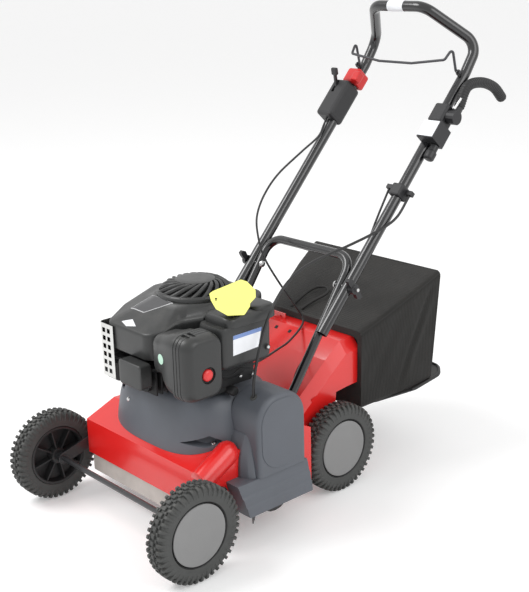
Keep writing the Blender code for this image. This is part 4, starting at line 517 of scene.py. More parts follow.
def carved(base, *tools, operation="DIFFERENCE"):
    """Cuts bmesh tools out of an object's mesh."""
    for tool in tools:
        bmesh.ops.recalc_face_normals(tool, faces=tool.faces)
        mesh = bpy.data.meshes.new("tool")
        tool.to_mesh(mesh)
        tool.free()
        cutter = bpy.data.objects.new("tool", mesh)
        bpy.context.scene.collection.objects.link(cutter)
        step = base.modifiers.new("cut", "BOOLEAN")
        step.operation = operation
        step.solver = "EXACT"
        step.object = cutter
        graph = bpy.context.evaluated_depsgraph_get()
        done = bpy.data.meshes.new_from_object(base.evaluated_get(graph))
        base.modifiers.remove(step)
        base.data = done
        bpy.data.objects.remove(cutter, do_unlink=True)
    base.data.shade_smooth()
    base.data.set_sharp_from_angle(angle=radians(32))


def filleted(points, radius, steps, closed=True):
    """Points of a loop or a line with each corner rounded by an arc."""
    points = [Vector(p) for p in points]
    count = len(points)
    route = [] if closed else [points[0]]
    for i in range(count) if closed else range(1, count - 1):
        before, corner, after = points[i - 1], points[i], points[(i + 1) % count]
        a, b = (before - corner).normalized(), (after - corner).normalized()
        half = acos(max(-1.0, min(1.0, a.dot(b)))) / 2
        span = min(radius / tan(half), 0.45 * (before - corner).length,
            0.45 * (after - corner).length)
        bend = span * tan(half)
        centre = corner + (a + b).normalized() * (bend / sin(half))
        first = (corner + a * span - centre).normalized()
        last = (corner + b * span - centre).normalized()
        route += [centre + first.slerp(last, k / steps) * bend for k in range(steps + 1)]
    return route if closed else route + [points[-1]]


def brick(low, high, bevel=0.0):
    """A bmesh of a block between two (across, back, up) corners, its edges rounded."""
    (x0, y0, z0), (x1, y1, z1) = low, high
    block = skin([[at(x0, y0, z), at(x1, y0, z), at(x1, y1, z), at(x0, y1, z)] for z in (z0, z1)])
    return worked(block, bevel, 3) if bevel else block


plinth_steps = ((0.16, -0.004), (0.205, 0.0), (0.245, 0.006), (0.265, 0.011), (0.28, 0.0165),
    (0.289, 0.0215), (0.295, 0.0275), (0.2985, 0.033), (0.3, 0.04))


def cowl_form(half_x, half_y, sunk=0):
    """A bmesh of the cowl's whole form, sunk by its wall where it's the hollow inside."""
    return skin([oval(half_x - inset, half_y - inset, z - sunk * (0.0035 if z > 0.17 else 0.01))
        for z, inset in plinth_steps])


plinth = piece_from("engine_plinth", cowl_form(0.178, 0.13), cowl_plastic, "grey_plastic")
deck_line = ((-0.02, 0.02), (-0.02, 0.1487), (0.0647, 0.1758), (0.14, 0.2056), (0.33, 0.2056),
    (0.355, 0.1926), (0.5, 0.1926), (0.5, 0.02))
carved(plinth, cowl_form(0.1745, 0.1265, 1), skin(
    [[(x, st(y), z) for y, z in deck_line] for x in (-0.27, 0.27)]),
    brick((-0.1005, 0.1235, 0.27), (0.1005, 0.3245, 0.33)),
    brick((0.12, 0.178, 0.145), (0.22, 0.27, 0.262)))
pocket_rim = [at(x, y, z) for x, y, z in ((0.098, 0.089, 0.209), (0.1501, 0.1168, 0.2045),
    (0.17, 0.148, 0.213), (0.166, 0.143, 0.2185), (0.1527, 0.1248, 0.229))]
pocket_mid = sum(pocket_rim, Vector()) / len(pocket_rim)


def wedge(grow, depth):
    """A bmesh of the recess, from outside the cowl to a depth behind its rim."""
    rim = [pocket_mid + (p - pocket_mid) * grow for p in pocket_rim]
    out = Vector((0.72, -0.69, 0))
    return worked(skin([[p + out * 0.03 for p in rim], rim,
        [pocket_mid + (p - pocket_mid) * (grow * 0.86) - out * depth for p in rim]]), 0.0012)


pocket = piece_from("pocket", wedge(1.18, 0.019), cowl_plastic)
carved(pocket, cowl_form(0.177, 0.129), operation="INTERSECT")
pocket_bm = bmesh.new()
pocket_bm.from_mesh(pocket.data)
bpy.data.objects.remove(pocket, do_unlink=True)
carved(plinth, pocket_bm, operation="UNION")
carved(plinth, wedge(1.0, 0.0165), brick((-0.1225, 0.07, 0.262), (-0.1055, 0.13, 0.32), 0.002))

# Belt cover
# The cover over the belt's idlers is a tall rounded bulge with a flat outer face, on which a
# D-shaped panel stands a little proud. A cable passes through a bush in its top.
cover_mid = (st(0.172) + st(0.302)) / 2
cover_top = 0.314
cover_half = 0.065


def arch(x, inset, low=0.1483):
    """The cover's outline across the machine, drawn in towards its middle."""
    loop = filleted([(0, st(0.172), low), (0, st(0.172), cover_top), (0, st(0.302), cover_top),
        (0, st(0.302), low)], 0.058, 20, closed=False)
    return [Vector((x, cover_mid + (p.y - cover_mid) * (1 - inset / cover_half),
        p.z if p.z <= low + 0.0001 else low + (p.z - low) * (1 - inset / (cover_top - low))))
        for p in loop]


def deck_room():
    """A bmesh of the room that the deck's end takes under the covers."""
    return brick((0.1, 0.1, 0.1), (0.2057, 0.4, 0.2053))


cover_steps = ((0.162, 0.0), (0.234, 0.0), (0.2385, 0.0004), (0.242, 0.0018), (0.2445, 0.0044),
    (0.2457, 0.0072), (0.246, 0.011))
inner_steps = ((0.158, 0.003), (0.229, 0.003), (0.2375, 0.006), (0.2425, 0.012), (0.243, 0.016))
bush_at = at(0.205, 0.199, 0.3048)
bush_axis = Vector((0, -0.534, 0.845))
cover = piece_from("belt_cover", skin([arch(x, inset) for x, inset in cover_steps]), cowl_plastic,
    "grey_plastic")
carved(cover, skin([arch(x, inset, 0.148) for x, inset in inner_steps]), cowl_form(0.1788, 0.1308),
    deck_room(), spun(((-0.009, 0), (-0.009, 0.0055), (0.012, 0.0055), (0.012, 0)), bush_at,
    bush_axis, 24, False))
panel_line = filleted([(0, st(0.1815), 0.158), (0, st(0.1815), 0.304), (0, st(0.293), 0.304),
    (0, st(0.293), 0.158)], 0.048, 14)
panel = skin([[Vector((x, cover_mid + (p.y - cover_mid) * k, 0.229 + (p.z - 0.229) * k))
    for p in panel_line] for x, k in ((0.244, 1.0), (0.2468, 1.0), (0.2476, 0.988),
    (0.2478, 0.965))])
piece_from("cover_panel", panel, cowl_plastic, "grey_plastic")
bush = spun(((-0.002, 0.0034), (0.0022, 0.0034), (0.003, 0.0042), (0.0022, 0.0074),
    (-0.002, 0.0078)), bush_at, bush_axis, 32)
piece_from("cable_bush", bush, tyre_rubber, "engine_black")

# Cover foot
# The cover's front flares out at its foot, where it meets the cowl and the end of the deck. It is
# the same grey moulding as the cover.
foot_rings = []
for z, front, x_in, x_mid, mid, x_out in ((0.1483, 0.151, 0.212, 0.228, 0.159, 0.242),
        (0.165, 0.1515, 0.2115, 0.226, 0.16, 0.24), (0.185, 0.153, 0.2105, 0.223, 0.162, 0.236),
        (0.208, 0.159, 0.209, 0.218, 0.166, 0.228), (0.222, 0.1655, 0.208, 0.215, 0.1695, 0.222),
        (0.234, 0.1712, 0.206, 0.211, 0.1722, 0.215)):
    foot_rings.append(filleted([at(x, y, z) for x, y in ((0.168, front), (x_in, front),
        (x_mid, mid), (x_out, 0.174), (0.168, 0.174))], 0.006, 6))
cover_foot = piece_from("cover_foot", skin(foot_rings), cowl_plastic, "grey_plastic")
carved(cover_foot, deck_room())

# Side skirt
# A long ledged moulding closes the near side over the rotor pulley. Two steps run along it, and
# its front end slants back.
skirt_top = 0.148
skirt_out = filleted([(0.2057, skirt_top, 0), (0.242, skirt_top, 0), (0.2478, 0.1245, 0),
    (0.2515, 0.12, 0), (0.2535, 0.1042, 0), (0.256, 0.1002, 0), (0.258, 0.0812, 0)], 0.003, 4,
    closed=False)
skirt_line = [(p.x, p.y) for p in skirt_out] + [(0.2057, 0.0812)]
skirt_in = ((0.203, 0.07), (0.203, 0.1448), (0.239, 0.1448), (0.2445, 0.122), (0.2485, 0.1178),
    (0.2505, 0.1012), (0.253, 0.0982), (0.2552, 0.07))


def skirt_form(line, front, rear):
    """A bmesh of the skirt along a section's line, its front end leaning back."""
    leaning = [Vector((x, st(0.119) + front + (skirt_top - z) * 0.25, z)) for x, z in line]
    return skin([leaning, *[[at(x, y, z) for x, z in line] for y in (0.2, rear)]])


skirt = piece_from("side_skirt", skirt_form(skirt_line, 0.0, 0.308), cowl_plastic, "grey_plastic")
carved(skirt, skirt_form(skirt_in, 0.0028, 0.3052),
    brick((0.195, 0.177, 0.128), (0.238, 0.297, 0.168)))


# Engine block, muffler and carburettor
# The crankcase and the finned cylinder are cast alloy, and black moulded covers hide most of
# them. The carburettor sits between the air cleaner and the tank, with its linkage in the open.
def smooth_line(route, steps=6):
    """Points along one smooth curve through a route's points."""
    places = [Vector(p) for p in route]
    ends = [2 * places[0] - places[1], *places, 2 * places[-1] - places[-2]]
    line = []
    for p0, p1, p2, p3 in zip(ends, ends[1:], ends[2:], ends[3:]):
        for k in range(steps):
            t = k / steps
            line.append(0.5 * (2 * p1 + (p2 - p0) * t + (2 * p0 - 5 * p1 + 4 * p2 - p3) * t * t
                + (3 * p1 - p0 - 3 * p2 + p3) * t ** 3))
    return line + [places[-1]]


def wire(line, radius, sides=12, radii=None):
    """A bmesh of a round wire along a line of points, its section carried without twist."""
    line = [Vector(p) for p in line]
    rings = []
    ahead = (line[1] - line[0]).normalized()
    across = ahead.orthogonal().normalized()
    for k, place in enumerate(line):
        before, after = line[max(k - 1, 0)], line[min(k + 1, len(line) - 1)]
        now = (after - before).normalized()
        across = (ahead.rotation_difference(now) @ across).normalized()
        across = (across - now * across.dot(now)).normalized()
        ahead = now
        up = now.cross(across)
        r = radii[k] if radii else radius
        rings.append([place + (across * cos(a) + up * sin(a)) * r for a in full_turn(sides)])
    return skin(rings)


def bar(start, end, profile, steps=32):
    """A bmesh turned round the line between two points, from (share of it, radius) pairs."""
    run = end - start
    return spun([(share * run.length, radius) for share, radius in profile], start, run, steps,
        False)


def pin(start, end, radius, steps=32):
    """A bmesh of a plain round pin."""
    return bar(start, end, ((0, 0), (0, radius), (1, radius), (1, 0)), steps)


def pan_screw(place, axis, radius, height):
    """A bmesh of a screw's domed head."""
    axis = Vector(axis).normalized()
    return bar(place - axis * 0.002, place + axis * height,
        ((0, 0), (0.001, radius), (0.55, radius), (0.85, radius * 0.72), (1, 0)))


engine_casting = finish("engine_casting", (40, 40, 41), 0.6, grain=0.0014, depth=0.0002,
    metallic=0.5)
dress(["engine_block"], engine_casting, 0.0008)
dress(["muffler"], engine_casting, 0.001)
# The engine plastic has a painted highlight along its edges.
engine_plastic = finish("engine_plastic", (45, 46, 46), 0.38, grain=0.0007, depth=0.00005,
    vary=0.05, dust=0.06, edge_highlight=0.3, edge_highlight_tone=(96, 96, 98))
dress(["carburettor"], engine_plastic, 0.001)
bright_zinc = finish("bright_zinc", (205, 205, 205), 0.26, grain=0.002, depth=0.00003, metallic=1.0)
linkage = [wire(smooth_line([at(*p) for p in route]), radius)
    for radius, route in ((0.0012, ((0.166, 0.15, 0.352), (0.167, 0.176, 0.349),
    (0.164, 0.2, 0.356), (0.166, 0.226, 0.35))), (0.0009,
    ((0.158, 0.158, 0.35), (0.158, 0.17, 0.338), (0.158, 0.196, 0.337), (0.158, 0.214, 0.345))))]
piece_from("linkage", merged(*linkage), engine_casting, "bright_steel")
screws = [pan_screw(at(*place), axis, radius, height)
    for place, axis, radius, height in (((0.156, 0.205, 0.336), (1, 0, 0), 0.0042, 0.006),
    ((0.156, 0.2375, 0.332), (1, 0, 0), 0.0042, 0.006),
    ((0.1535, 0.1335, 0.2085), (0.35, -0.35, 1), 0.0055, 0.0065),
    ((-0.0769, 0.0925, 0.2511), (-0.12, -0.95, 0.3), 0.005, 0.0045))]
piece_from("bright_screws", merged(*screws), bright_zinc, "bright_steel")
plate = skin([[at(x, y, z) for y, z in ((0.146, 0.322), (0.236, 0.32), (0.246, 0.33),
    (0.244, 0.358), (0.15, 0.36))] for x in (0.151, 0.1545)])
merged(plate, bar(at(0.148, 0.182, 0.312), at(0.17, 0.182, 0.312),
    ((0, 0), (0.01, 0.01), (0.8, 0.01), (1, 0.0075), (1, 0))))
piece_from("linkage_plate", worked(plate, 0.0006), engine_casting, "engine_black")

# Blower housing
# The black shroud is one injection moulding: narrow and flat at the front, wide round the
# flywheel, its top rising to the collar that carries the grille. A blank plate lies on the slope.
housing_mid = at(0, 0.224, 0)
housing_loop = filleted([at(x, y, 0) for x, y in ((-0.09, 0.0585), (0.046, 0.0585), (0.0655, 0.088),
    (0.0655, 0.13), (0.1095, 0.168), (0.1095, 0.3), (0.07, 0.3475), (-0.12, 0.3475),
    (-0.134, 0.215), (-0.118, 0.12))], 0.026, 12)
shoulder_x = 0.1015


def housing_ring(grow, lift, inner=0.0):
    """The housing's outline at its rising shoulder, grown outwards and lifted."""
    ring = []
    for p in housing_loop:
        out = (p - housing_mid).normalized()
        rise = min(max((p.y - st(0.06)) / 0.14, 0.0), 1.0)
        rise = rise * rise * (3 - 2 * rise) * 0.35 + rise * 0.65
        ring.append(Vector((min(p.x + out.x * grow, shoulder_x - inner), p.y + out.y * grow,
            0.432 + 0.034 * rise + lift)))
    return ring


def housing_foot(grow, lift, inner=0.0):
    """The housing's lower edge, raised across the front."""
    ring = []
    for p in housing_ring(grow, 0.0, inner):
        raised = min(max((st(0.105) - p.y) / 0.03, 0.0), 1.0)
        ring.append(Vector((p.x, p.y, 0.358 + 0.02 * raised + lift)))
    return ring


def collar_ring(radius, z):
    """The round collar under the grille, point for point with the outline."""
    return [housing_mid + (p - housing_mid).normalized() * radius + Vector((0, 0, z))
        for p in housing_loop]


housing_rings = [housing_foot(-0.0004, 0.0), housing_foot(0.0, 0.0012)]
housing_rings += [housing_ring(grow, lift) for grow, lift in ((0.0, -0.014), (0.0002, -0.009),
    (0.0, -0.0045), (-0.0012, -0.0012), (-0.0034, 0.0008), (-0.007, 0.0022), (-0.012, 0.004))]
housing_rings += [[a.lerp(b, t) for a, b in zip(housing_ring(-0.012, 0.004),
    collar_ring(0.0925, 0.4715))] for t in (0.3, 0.6, 0.85)]
housing_rings += [collar_ring(r, z) for r, z in ((0.0915, 0.4722), (0.0895, 0.4745),
    (0.0875, 0.4758), (0.0845, 0.476), (0.0765, 0.476), (0.0765, 0.4735), (0.087, 0.473))]
housing_rings += [housing_ring(-0.013, 0.001, 0.0025), housing_ring(-0.0035, -0.006, 0.0025),
    housing_foot(-0.0025, 0.0, 0.0025)]
housing = piece_from("blower_housing", skin(housing_rings, closed=True), engine_plastic,
    "engine_black", smooth=28)
carved(housing, pin(at(-0.078, 0.33, 0.412), at(-0.078, 0.36, 0.412), 0.0036, 24))


def laid(name, corners, across, along, above, thick, material):
    """A thin plate of quads that follows the housing under four plan corners."""
    tree = BVHTree.FromObject(housing, bpy.context.evaluated_depsgraph_get())
    a, b, c, d = (at(x, y, 0) for x, y in corners)
    bm = bmesh.new()
    rows = []
    for i in range(across + 1):
        for layer in (0, 1):
            row = []
            for j in range(along + 1):
                u, v = i / across, j / along
                place = a.lerp(b, u).lerp(d.lerp(c, u), v)
                hit = tree.ray_cast(Vector((place.x, place.y, 0.6)), Vector((0, 0, -1)))[0]
                row.append(bm.verts.new(hit + Vector((0, 0, above + layer * thick))))
            rows.append(row)
    low, high = rows[0::2], rows[1::2]
    for sheet, flip in ((low, True), (high, False)):
        for r0, r1 in zip(sheet, sheet[1:]):
            for j in range(along):
                quad = (r0[j], r0[j + 1], r1[j + 1], r1[j])
                bm.faces.new(quad[::-1] if flip else quad)
    for j in range(along):
        bm.faces.new((low[0][j], low[0][j + 1], high[0][j + 1], high[0][j]))
        bm.faces.new((low[-1][j + 1], low[-1][j], high[-1][j], high[-1][j + 1]))
    for i in range(across):
        bm.faces.new((low[i + 1][0], low[i][0], high[i][0], high[i + 1][0]))
        bm.faces.new((low[i][-1], low[i + 1][-1], high[i + 1][-1], high[i][-1]))
    piece_from(name, bm, material, "engine_black")


plate_border = finish("plate_border", (196, 196, 198), 0.3, grain=0.001, depth=0.00002)
plate_face = finish("plate_face", (58, 58, 60), 0.3, grain=0.001, depth=0.00002, coat=0.3)
label_white = finish("label_white", (238, 240, 244), 0.35, grain=0.001, depth=0.00001)
plate_corners = ((-0.0545, 0.149), (0.03, 0.142), (-0.0205, 0.1028), (-0.0675, 0.105))
plate_x, plate_y = sum(x for x, _ in plate_corners) / 4, sum(y for _, y in plate_corners) / 4
face_corners = [(plate_x + (x - plate_x) * 0.93, plate_y + (y - plate_y) * 0.93)
    for x, y in plate_corners]
small_corners = ((-0.0518, 0.0701), (-0.0297, 0.0819), (-0.004, 0.0708), (-0.0268, 0.063))
laid("plate_border", plate_corners, 12, 10, 0.0001, 0.0007, plate_border)
laid("plate_face", face_corners, 12, 10, 0.0006, 0.0007, plate_face)
laid("small_label", small_corners, 6, 5, 0.0001, 0.0004, label_white)

# Starter grille
# A round domed moulding whose curved slats all lean the same way, with deep slots between them that
# feed the fan. Its middle is a plain cap. A near-black disc under the slats is painted shade for
# the dark behind the slots.
dome = ((0.0, 0.507), (0.02, 0.5069), (0.036, 0.5064), (0.05, 0.5052), (0.058, 0.5026),
    (0.064, 0.4985), (0.07, 0.4935), (0.0755, 0.488), (0.0795, 0.4835))
slat_start = 0.0385
slat_end = 0.077
slat_profile = ((-1, 0.006), (-1, 0.001), (-0.7, 0.0002), (0.2, 0.0), (0.75, 0.0008), (1, 0.0022),
    (1, 0.006))


def dome_z(r):
    """Height of the dome over a radius."""
    for (r0, z0), (r1, z1) in zip(dome, dome[1:]):
        if r <= r1:
            return z0 + (z1 - z0) * (r - r0) / (r1 - r0)
    return dome[-1][1]


def slat(width, lean, swirl):
    """One curved slat from the middle cap down to the rim, drawn at the angle 0."""
    rings = []
    for k in range(15):
        r = slat_start + (slat_end - slat_start) * k / 14
        turn = swirl * (r - slat_start) / slat_start
        out = Vector((cos(turn), sin(turn), 0))
        side = Vector((-sin(turn + lean), cos(turn + lean), 0))
        top = dome_z(r) - 0.0003
        rings.append([out * r + side * (across * width) + Vector((0, 0, top - drop))
            for across, drop in slat_profile])
    return skin(rings)


rim = ((0.4766, 0.0745), (0.485, 0.0745), (0.4868, 0.0752), (0.486, 0.0775), (0.4835, 0.0798),
    (0.4815, 0.0808), (0.4766, 0.081))
grille = piece_from("starter_grille", spun(rim, housing_mid, (0, 0, 1), 144), engine_plastic,
    "engine_black")
repeated(grille, slat(0.0036, -0.75, -0.8), 20, housing_mid, (0, 0, 1))
cap_rings = ((0.503, 0), (0.503, 0.0395), (0.5045, 0.042), (0.5058, 0.0418), (0.5066, 0.039),
    (0.507, 0.025), (0.5071, 0))
piece_from("grille_cap", spun(cap_rings, housing_mid, (0, 0, 1), 96, False), engine_plastic,
    "engine_black")
# Painted shade: the fan_screen disc is a near-black sheet that stands for the dark behind the
# slots.
fan_shade = finish("fan_painted_shade", (14, 14, 15), 0.9)
piece_from("fan_screen", spun(((0.4795, 0), (0.4795, 0.0735), (0.4782, 0.0735), (0.4782, 0)),
    housing_mid, (0, 0, 1), 64, False), fan_shade, "engine_black")


# Air cleaner
# The base is an elbow moulded against the housing, and the ribbed cover clips over it. The red
# primer bulb sits in a round recess of the cover.
def section(x, y0, y1, z0, z1, radius, steps=8):
    """A rounded section across the machine's width."""
    return filleted([at(x, y0, z0), at(x, y0, z1), at(x, y1, z1), at(x, y1, z0)], radius, steps)


elbow = skin([section(*row) for row in ((0.0682, 0.068, 0.112, 0.374, 0.424, 0.01),
    (0.069, 0.062, 0.118, 0.368, 0.431, 0.014), (0.0715, 0.057, 0.123, 0.363, 0.437, 0.016),
    (0.076, 0.0545, 0.126, 0.3595, 0.4405, 0.018), (0.09, 0.053, 0.127, 0.3595, 0.443, 0.02),
    (0.101, 0.0515, 0.128, 0.3595, 0.4455, 0.022), (0.108, 0.05, 0.129, 0.34, 0.4475, 0.022),
    (0.12, 0.048, 0.131, 0.329, 0.452, 0.024), (0.135, 0.0455, 0.132, 0.327, 0.4545, 0.025),
    (0.1497, 0.045, 0.132, 0.327, 0.455, 0.025))])
piece_from("air_cleaner_body", elbow, engine_plastic, "engine_black", smooth=30)
sticker_green = finish("sticker_green", (190, 226, 206), 0.35, grain=0.001, depth=0.00001)
piece_from("round_sticker", spun(((0, 0), (0, 0.0105), (0.0006, 0.0105), (0.0006, 0)),
    at(0.103, 0.0506, 0.3992), (-0.164, -0.986, 0), 48, False), sticker_green, "engine_black")
cover_steps = ((0.15, 0.0004, 0, 0), (0.1504, 0, 0, 0), (0.156, 0, 0, 0),
    (0.1564, 0.0012, 0.0008, 0.0008), (0.1576, 0.0012, 0.0008, 0.0008),
    (0.1582, 0.0002, 0.0002, 0.0002), (0.164, 0.0006, 0.0004, 0.0004),
    (0.1645, 0.0018, 0.0008, 0.0012), (0.1656, 0.0018, 0.0008, 0.0012),
    (0.1662, 0.0009, 0.0006, 0.0008), (0.172, 0.0014, 0.0008, 0.0012),
    (0.1726, 0.0027, 0.0012, 0.002), (0.1736, 0.0028, 0.0012, 0.002),
    (0.1744, 0.002, 0.0011, 0.0016), (0.18, 0.0032, 0.0014, 0.0024),
    (0.186, 0.0062, 0.0022, 0.0044), (0.1905, 0.01, 0.0036, 0.0068), (0.194, 0.014, 0.0058, 0.0098),
    (0.1956, 0.0176, 0.0084, 0.0126), (0.196, 0.021, 0.011, 0.0155))
cover = skin([section(x, 0.04 + front, 0.134 - back, 0.324 + edge, 0.46 - edge, 0.026 - edge * 0.6,
    10) for x, front, back, edge in cover_steps])
cover = piece_from("air_cleaner_cover", cover, engine_plastic, "engine_black", smooth=30)
bulb_at = at(0.196, 0.094, 0.378)


def bulb_form(low, high, profile):
    """A bmesh turned round the bulb's axis, between two distances from its seat."""
    return bar(bulb_at + Vector((low, 0, 0)), bulb_at + Vector((high, 0, 0)), profile, 64)


latches = [worked(skin([[at(x, back + y, 0.466 - z)
    for x, y in ((0.159, -0.004), (0.159, 0.004), (0.179, 0.005), (0.179, -0.003))]
    for z in (0.0, 0.0105)]), 0.0008) for back in (0.062, 0.076)]
carved(cover, bulb_form(-0.005, 0.003, ((0, 0), (0, 0.0165), (1, 0.0175), (1, 0))),
    bulb_form(-0.017, -0.004, ((0, 0), (0, 0.0131), (1, 0.0131), (1, 0))), *latches)
bulb_red = finish("bulb_red", (222, 52, 52), 0.36, vary=0.04, coat=0.2)
bulb = bulb_form(-0.0105, 0.0032, ((0, 0), (0, 0.0122), (0.55, 0.0122), (0.7, 0.0116),
    (0.83, 0.0098), (0.93, 0.0068), (0.98, 0.0035), (1, 0)))
piece_from("primer_bulb", bulb, bulb_red, "dark_red_plastic", "primer")
ring_black = finish("ring_black", (20, 20, 21), 0.5)
piece_from("bulb_ring", spun(((0, 0.0133), (0.0014, 0.0133), (0.0018, 0.014), (0.0014, 0.016),
    (0, 0.0163)), bulb_at - Vector((0.0049, 0, 0)), (1, 0, 0), 64), ring_black, "engine_black")


# Fuel tank and its cap
# The tank is blow moulded with a lid that overhangs it, and a blank white label on its side. The
# cap screws on to a neck in the lid and has a fluted rim.
def tiers(x0, x1, y0, y1, radius, levels, steps=8):
    """A bmesh of a rounded block with level rings, from (height, inset) pairs."""
    return skin([filleted([at(x0 + k, y0 + k, z), at(x1 - k, y0 + k, z), at(x1 - k, y1 - k, z),
        at(x0 + k, y1 - k, z)], radius, steps) for z, k in levels])


tank = tiers(0.1058, 0.184, 0.139, 0.272, 0.016, ((0.365, 0.012), (0.366, 0.008), (0.369, 0.004),
    (0.374, 0.0012), (0.38, 0.0), (0.44, 0.0), (0.45, 0.0006), (0.454, 0.002)))
lid = tiers(0.1018, 0.187, 0.156, 0.286, 0.018, ((0.4515, 0.003), (0.452, 0.0008), (0.454, 0.0),
    (0.464, 0.0004), (0.469, 0.0016), (0.4722, 0.0042), (0.4735, 0.008), (0.4742, 0.015),
    (0.4745, 0.03)))
hump = tiers(0.104, 0.1845, 0.23, 0.2845, 0.017, ((0.47, 0.0), (0.476, 0.0004), (0.4785, 0.0022),
    (0.4798, 0.0056), (0.4803, 0.011)))
tank_foot = tiers(0.0925, 0.1215, 0.171, 0.239, 0.004, ((0.3581, 0), (0.3715, 0)), 3)
cap_mid = at(0.148, 0.206, 0)
neck = spun(((0.472, 0), (0.472, 0.0185), (0.4798, 0.0185), (0.4798, 0.0168), (0.4838, 0.0168),
    (0.4838, 0)), cap_mid, (0, 0, 1), 48, False)
screw_at = at(0.188, 0.256, 0.3925)
boss = bar(at(0.182, 0.256, 0.3925), screw_at, ((0, 0), (0, 0.0062), (1, 0.0054), (1, 0)))
piece_from("fuel_tank", merged(tank, lid, hump, tank_foot, neck, boss), engine_plastic,
    "engine_black", smooth=30)
piece_from("tank_screw", pan_screw(screw_at, (1, 0, 0), 0.0036, 0.0024), bright_zinc,
    "engine_black")
label_blue = finish("label_blue", (120, 146, 200), 0.35, grain=0.001, depth=0.00001)
label_low = ((0.1665, 0.396), (0.2325, 0.399))
band_low = ((0.1678, 0.429), (0.2403, 0.43))
for name, x, low, material in (("tank_label", 0.1841, label_low, label_white),
        ("tank_label_band", 0.1844, band_low, label_blue)):
    corners = (*low, (0.2425, 0.438), (0.168, 0.437))
    piece_from(name, skin([[at(x + k, y, z) for y, z in corners] for k in (0, 0.0005)]), material,
        "engine_black")
cap = piece_from("fuel_cap", spun(((0.4803, 0.0176), (0.4803, 0.02), (0.4815, 0.0204),
    (0.4975, 0.02), (0.4995, 0.0192), (0.5003, 0.017), (0.5003, 0), (0.4848, 0), (0.4848, 0.0176)),
    cap_mid, (0, 0, 1), 72), engine_plastic, "engine_black", "tank_cap")
flute = skin([[(x, a * 0.0016 * k, z) for a, z in ((-1, 0.4822), (1, 0.4822), (1, 0.4985),
    (-1, 0.4985))] for x, k in ((0.019, 1), (0.021, 0.6))])
repeated(cap, worked(flute, 0.0003, 1), 24, cap_mid, (0, 0, 1))

# Cap tag
# A card of yellow plastic hangs on the cap by a cord through its hole, slanting towards the
# front. Nothing is printed on it.
tag_card = finish("tag_card", (250, 250, 132), 0.5, vary=0.02, grain=0.002, depth=0.00002)
tag_tilt = radians(25.0)
tag_heading = radians(48.3)
tag_mid = at(0.148, 0.206, 0.5003 + tan(tag_tilt) * 0.018 + 0.0004)
tag_side = Vector((cos(tag_heading), sin(tag_heading), 0))
tag_down = Vector((sin(tag_heading), -cos(tag_heading), -tan(tag_tilt)))
tag_up = tag_down.cross(tag_side).normalized()
tag_outline = filleted([(a, b, 0) for a, b in ((-0.05, 0.001), (-0.0428, -0.0055), (0.0123, -0.035),
    (0.0241, -0.0294), (0.0414, -0.0058), (0.0417, 0.0136), (0.0306, 0.029), (0.0302, 0.0369),
    (0.0194, 0.0587), (-0.0133, 0.0597), (-0.0362, 0.042), (-0.0466, 0.0186))], 0.004, 4)
tag = skin([[tag_mid + tag_side * p.x + tag_down * p.y + tag_up * h for p in tag_outline]
    for h in (0.0, 0.0012)])
tag = piece_from("cap_tag", worked(tag, 0.0003, 1), tag_card, "tag_yellow", "tank_cap")
hole = tag_mid + tag_side * -0.0365 + tag_down * 0.015
carved(tag, pin(hole - tag_up * 0.003, hole + tag_up * 0.004, 0.0026, 24))
cord_black = finish("cord_black", (30, 30, 31), 0.7)
tie = wire(smooth_line([hole + tag_up * 0.0016 + tag_down * 0.006, hole + tag_up * 0.0022,
    hole - tag_up * 0.003, at(0.13, 0.19, 0.49), at(0.1262, 0.208, 0.486)]), 0.0009, 8)
piece_from("tag_tie", tie, cord_black, "engine_black", "tank_cap")

# Muffler guard
# A thin bright sheet is bent round the muffler and pierced all over with small oblong holes. It
# is fixed to the engine, clear of the muffler's hot can.
guard_steel = finish("guard_steel", (205, 205, 203), 0.32, grain=0.002, depth=0.00003, metallic=1.0)
dress(["muffler_guard"], guard_steel, 0.0004)

# Spark plug guard and starter grip
# A square moulded hood covers the plug under the housing's front edge. The grip of the pull cord
# rests behind the housing.
hood_steps = ((0.03, 0.004), (0.0306, 0.0014), (0.0322, 0.0), (0.056, 0.0), (0.058, 0.0012))
hood = skin([filleted([at(x, y, z) for x, z in ((-0.015 + k, 0.324 + k), (0.06 - k, 0.324 + k),
    (0.06 - k, 0.376 - k), (-0.015 + k, 0.376 - k))], 0.007, 6) for y, k in hood_steps])
plug_boot = skin([[at(x, y, z) for x, z in ((-0.008, 0.328), (0.036, 0.328), (0.036, 0.345),
    (-0.008, 0.345))] for y in (0.056, 0.0616)])
piece_from("plug_guard", merged(hood, plug_boot), engine_plastic, "engine_black", smooth=30)
dress(["starter_grip"], engine_plastic, 0.0015)

# Handle tubes
# Both handles are bent steel tube in gloss black paint. The lower one is an inverted U fixed to
# the deck, and the upper one folds at two bolts and carries the controls.
tube_black = finish("tube_black", (24, 24, 26), 0.2, grain=0.004, depth=0.00002, vary=0.1, coat=0.5)
slope = radians(47.6)
fold = at(0, 0.519, 0.453)


def on_slope(along, off=0.0, x=0.0):
    """A point on the handle: along its slope from the fold bolts, and off it."""
    return fold + Vector((x, along * cos(slope) - off * sin(slope),
        along * sin(slope) + off * cos(slope)))


def mirrored(half):
    """A line from one end to the middle, and back along the other side."""
    return half + [Vector((-p.x, p.y, p.z)) for p in reversed(half)]


def pipe(line, radius):
    """A bmesh of a tube with open ends and a wall of 1.5 mm."""
    sides = 28
    outer = wire(line, radius, sides)
    rings = [[v.co.copy() for v in outer.verts][k * sides:(k + 1) * sides]
        for k in range(len(line))]
    outer.free()
    inner = [[p.lerp(place, 0.0015 / radius) for p in ring] for place, ring in zip(line, rings)]
    return skin(rings + inner[::-1], closed=True)


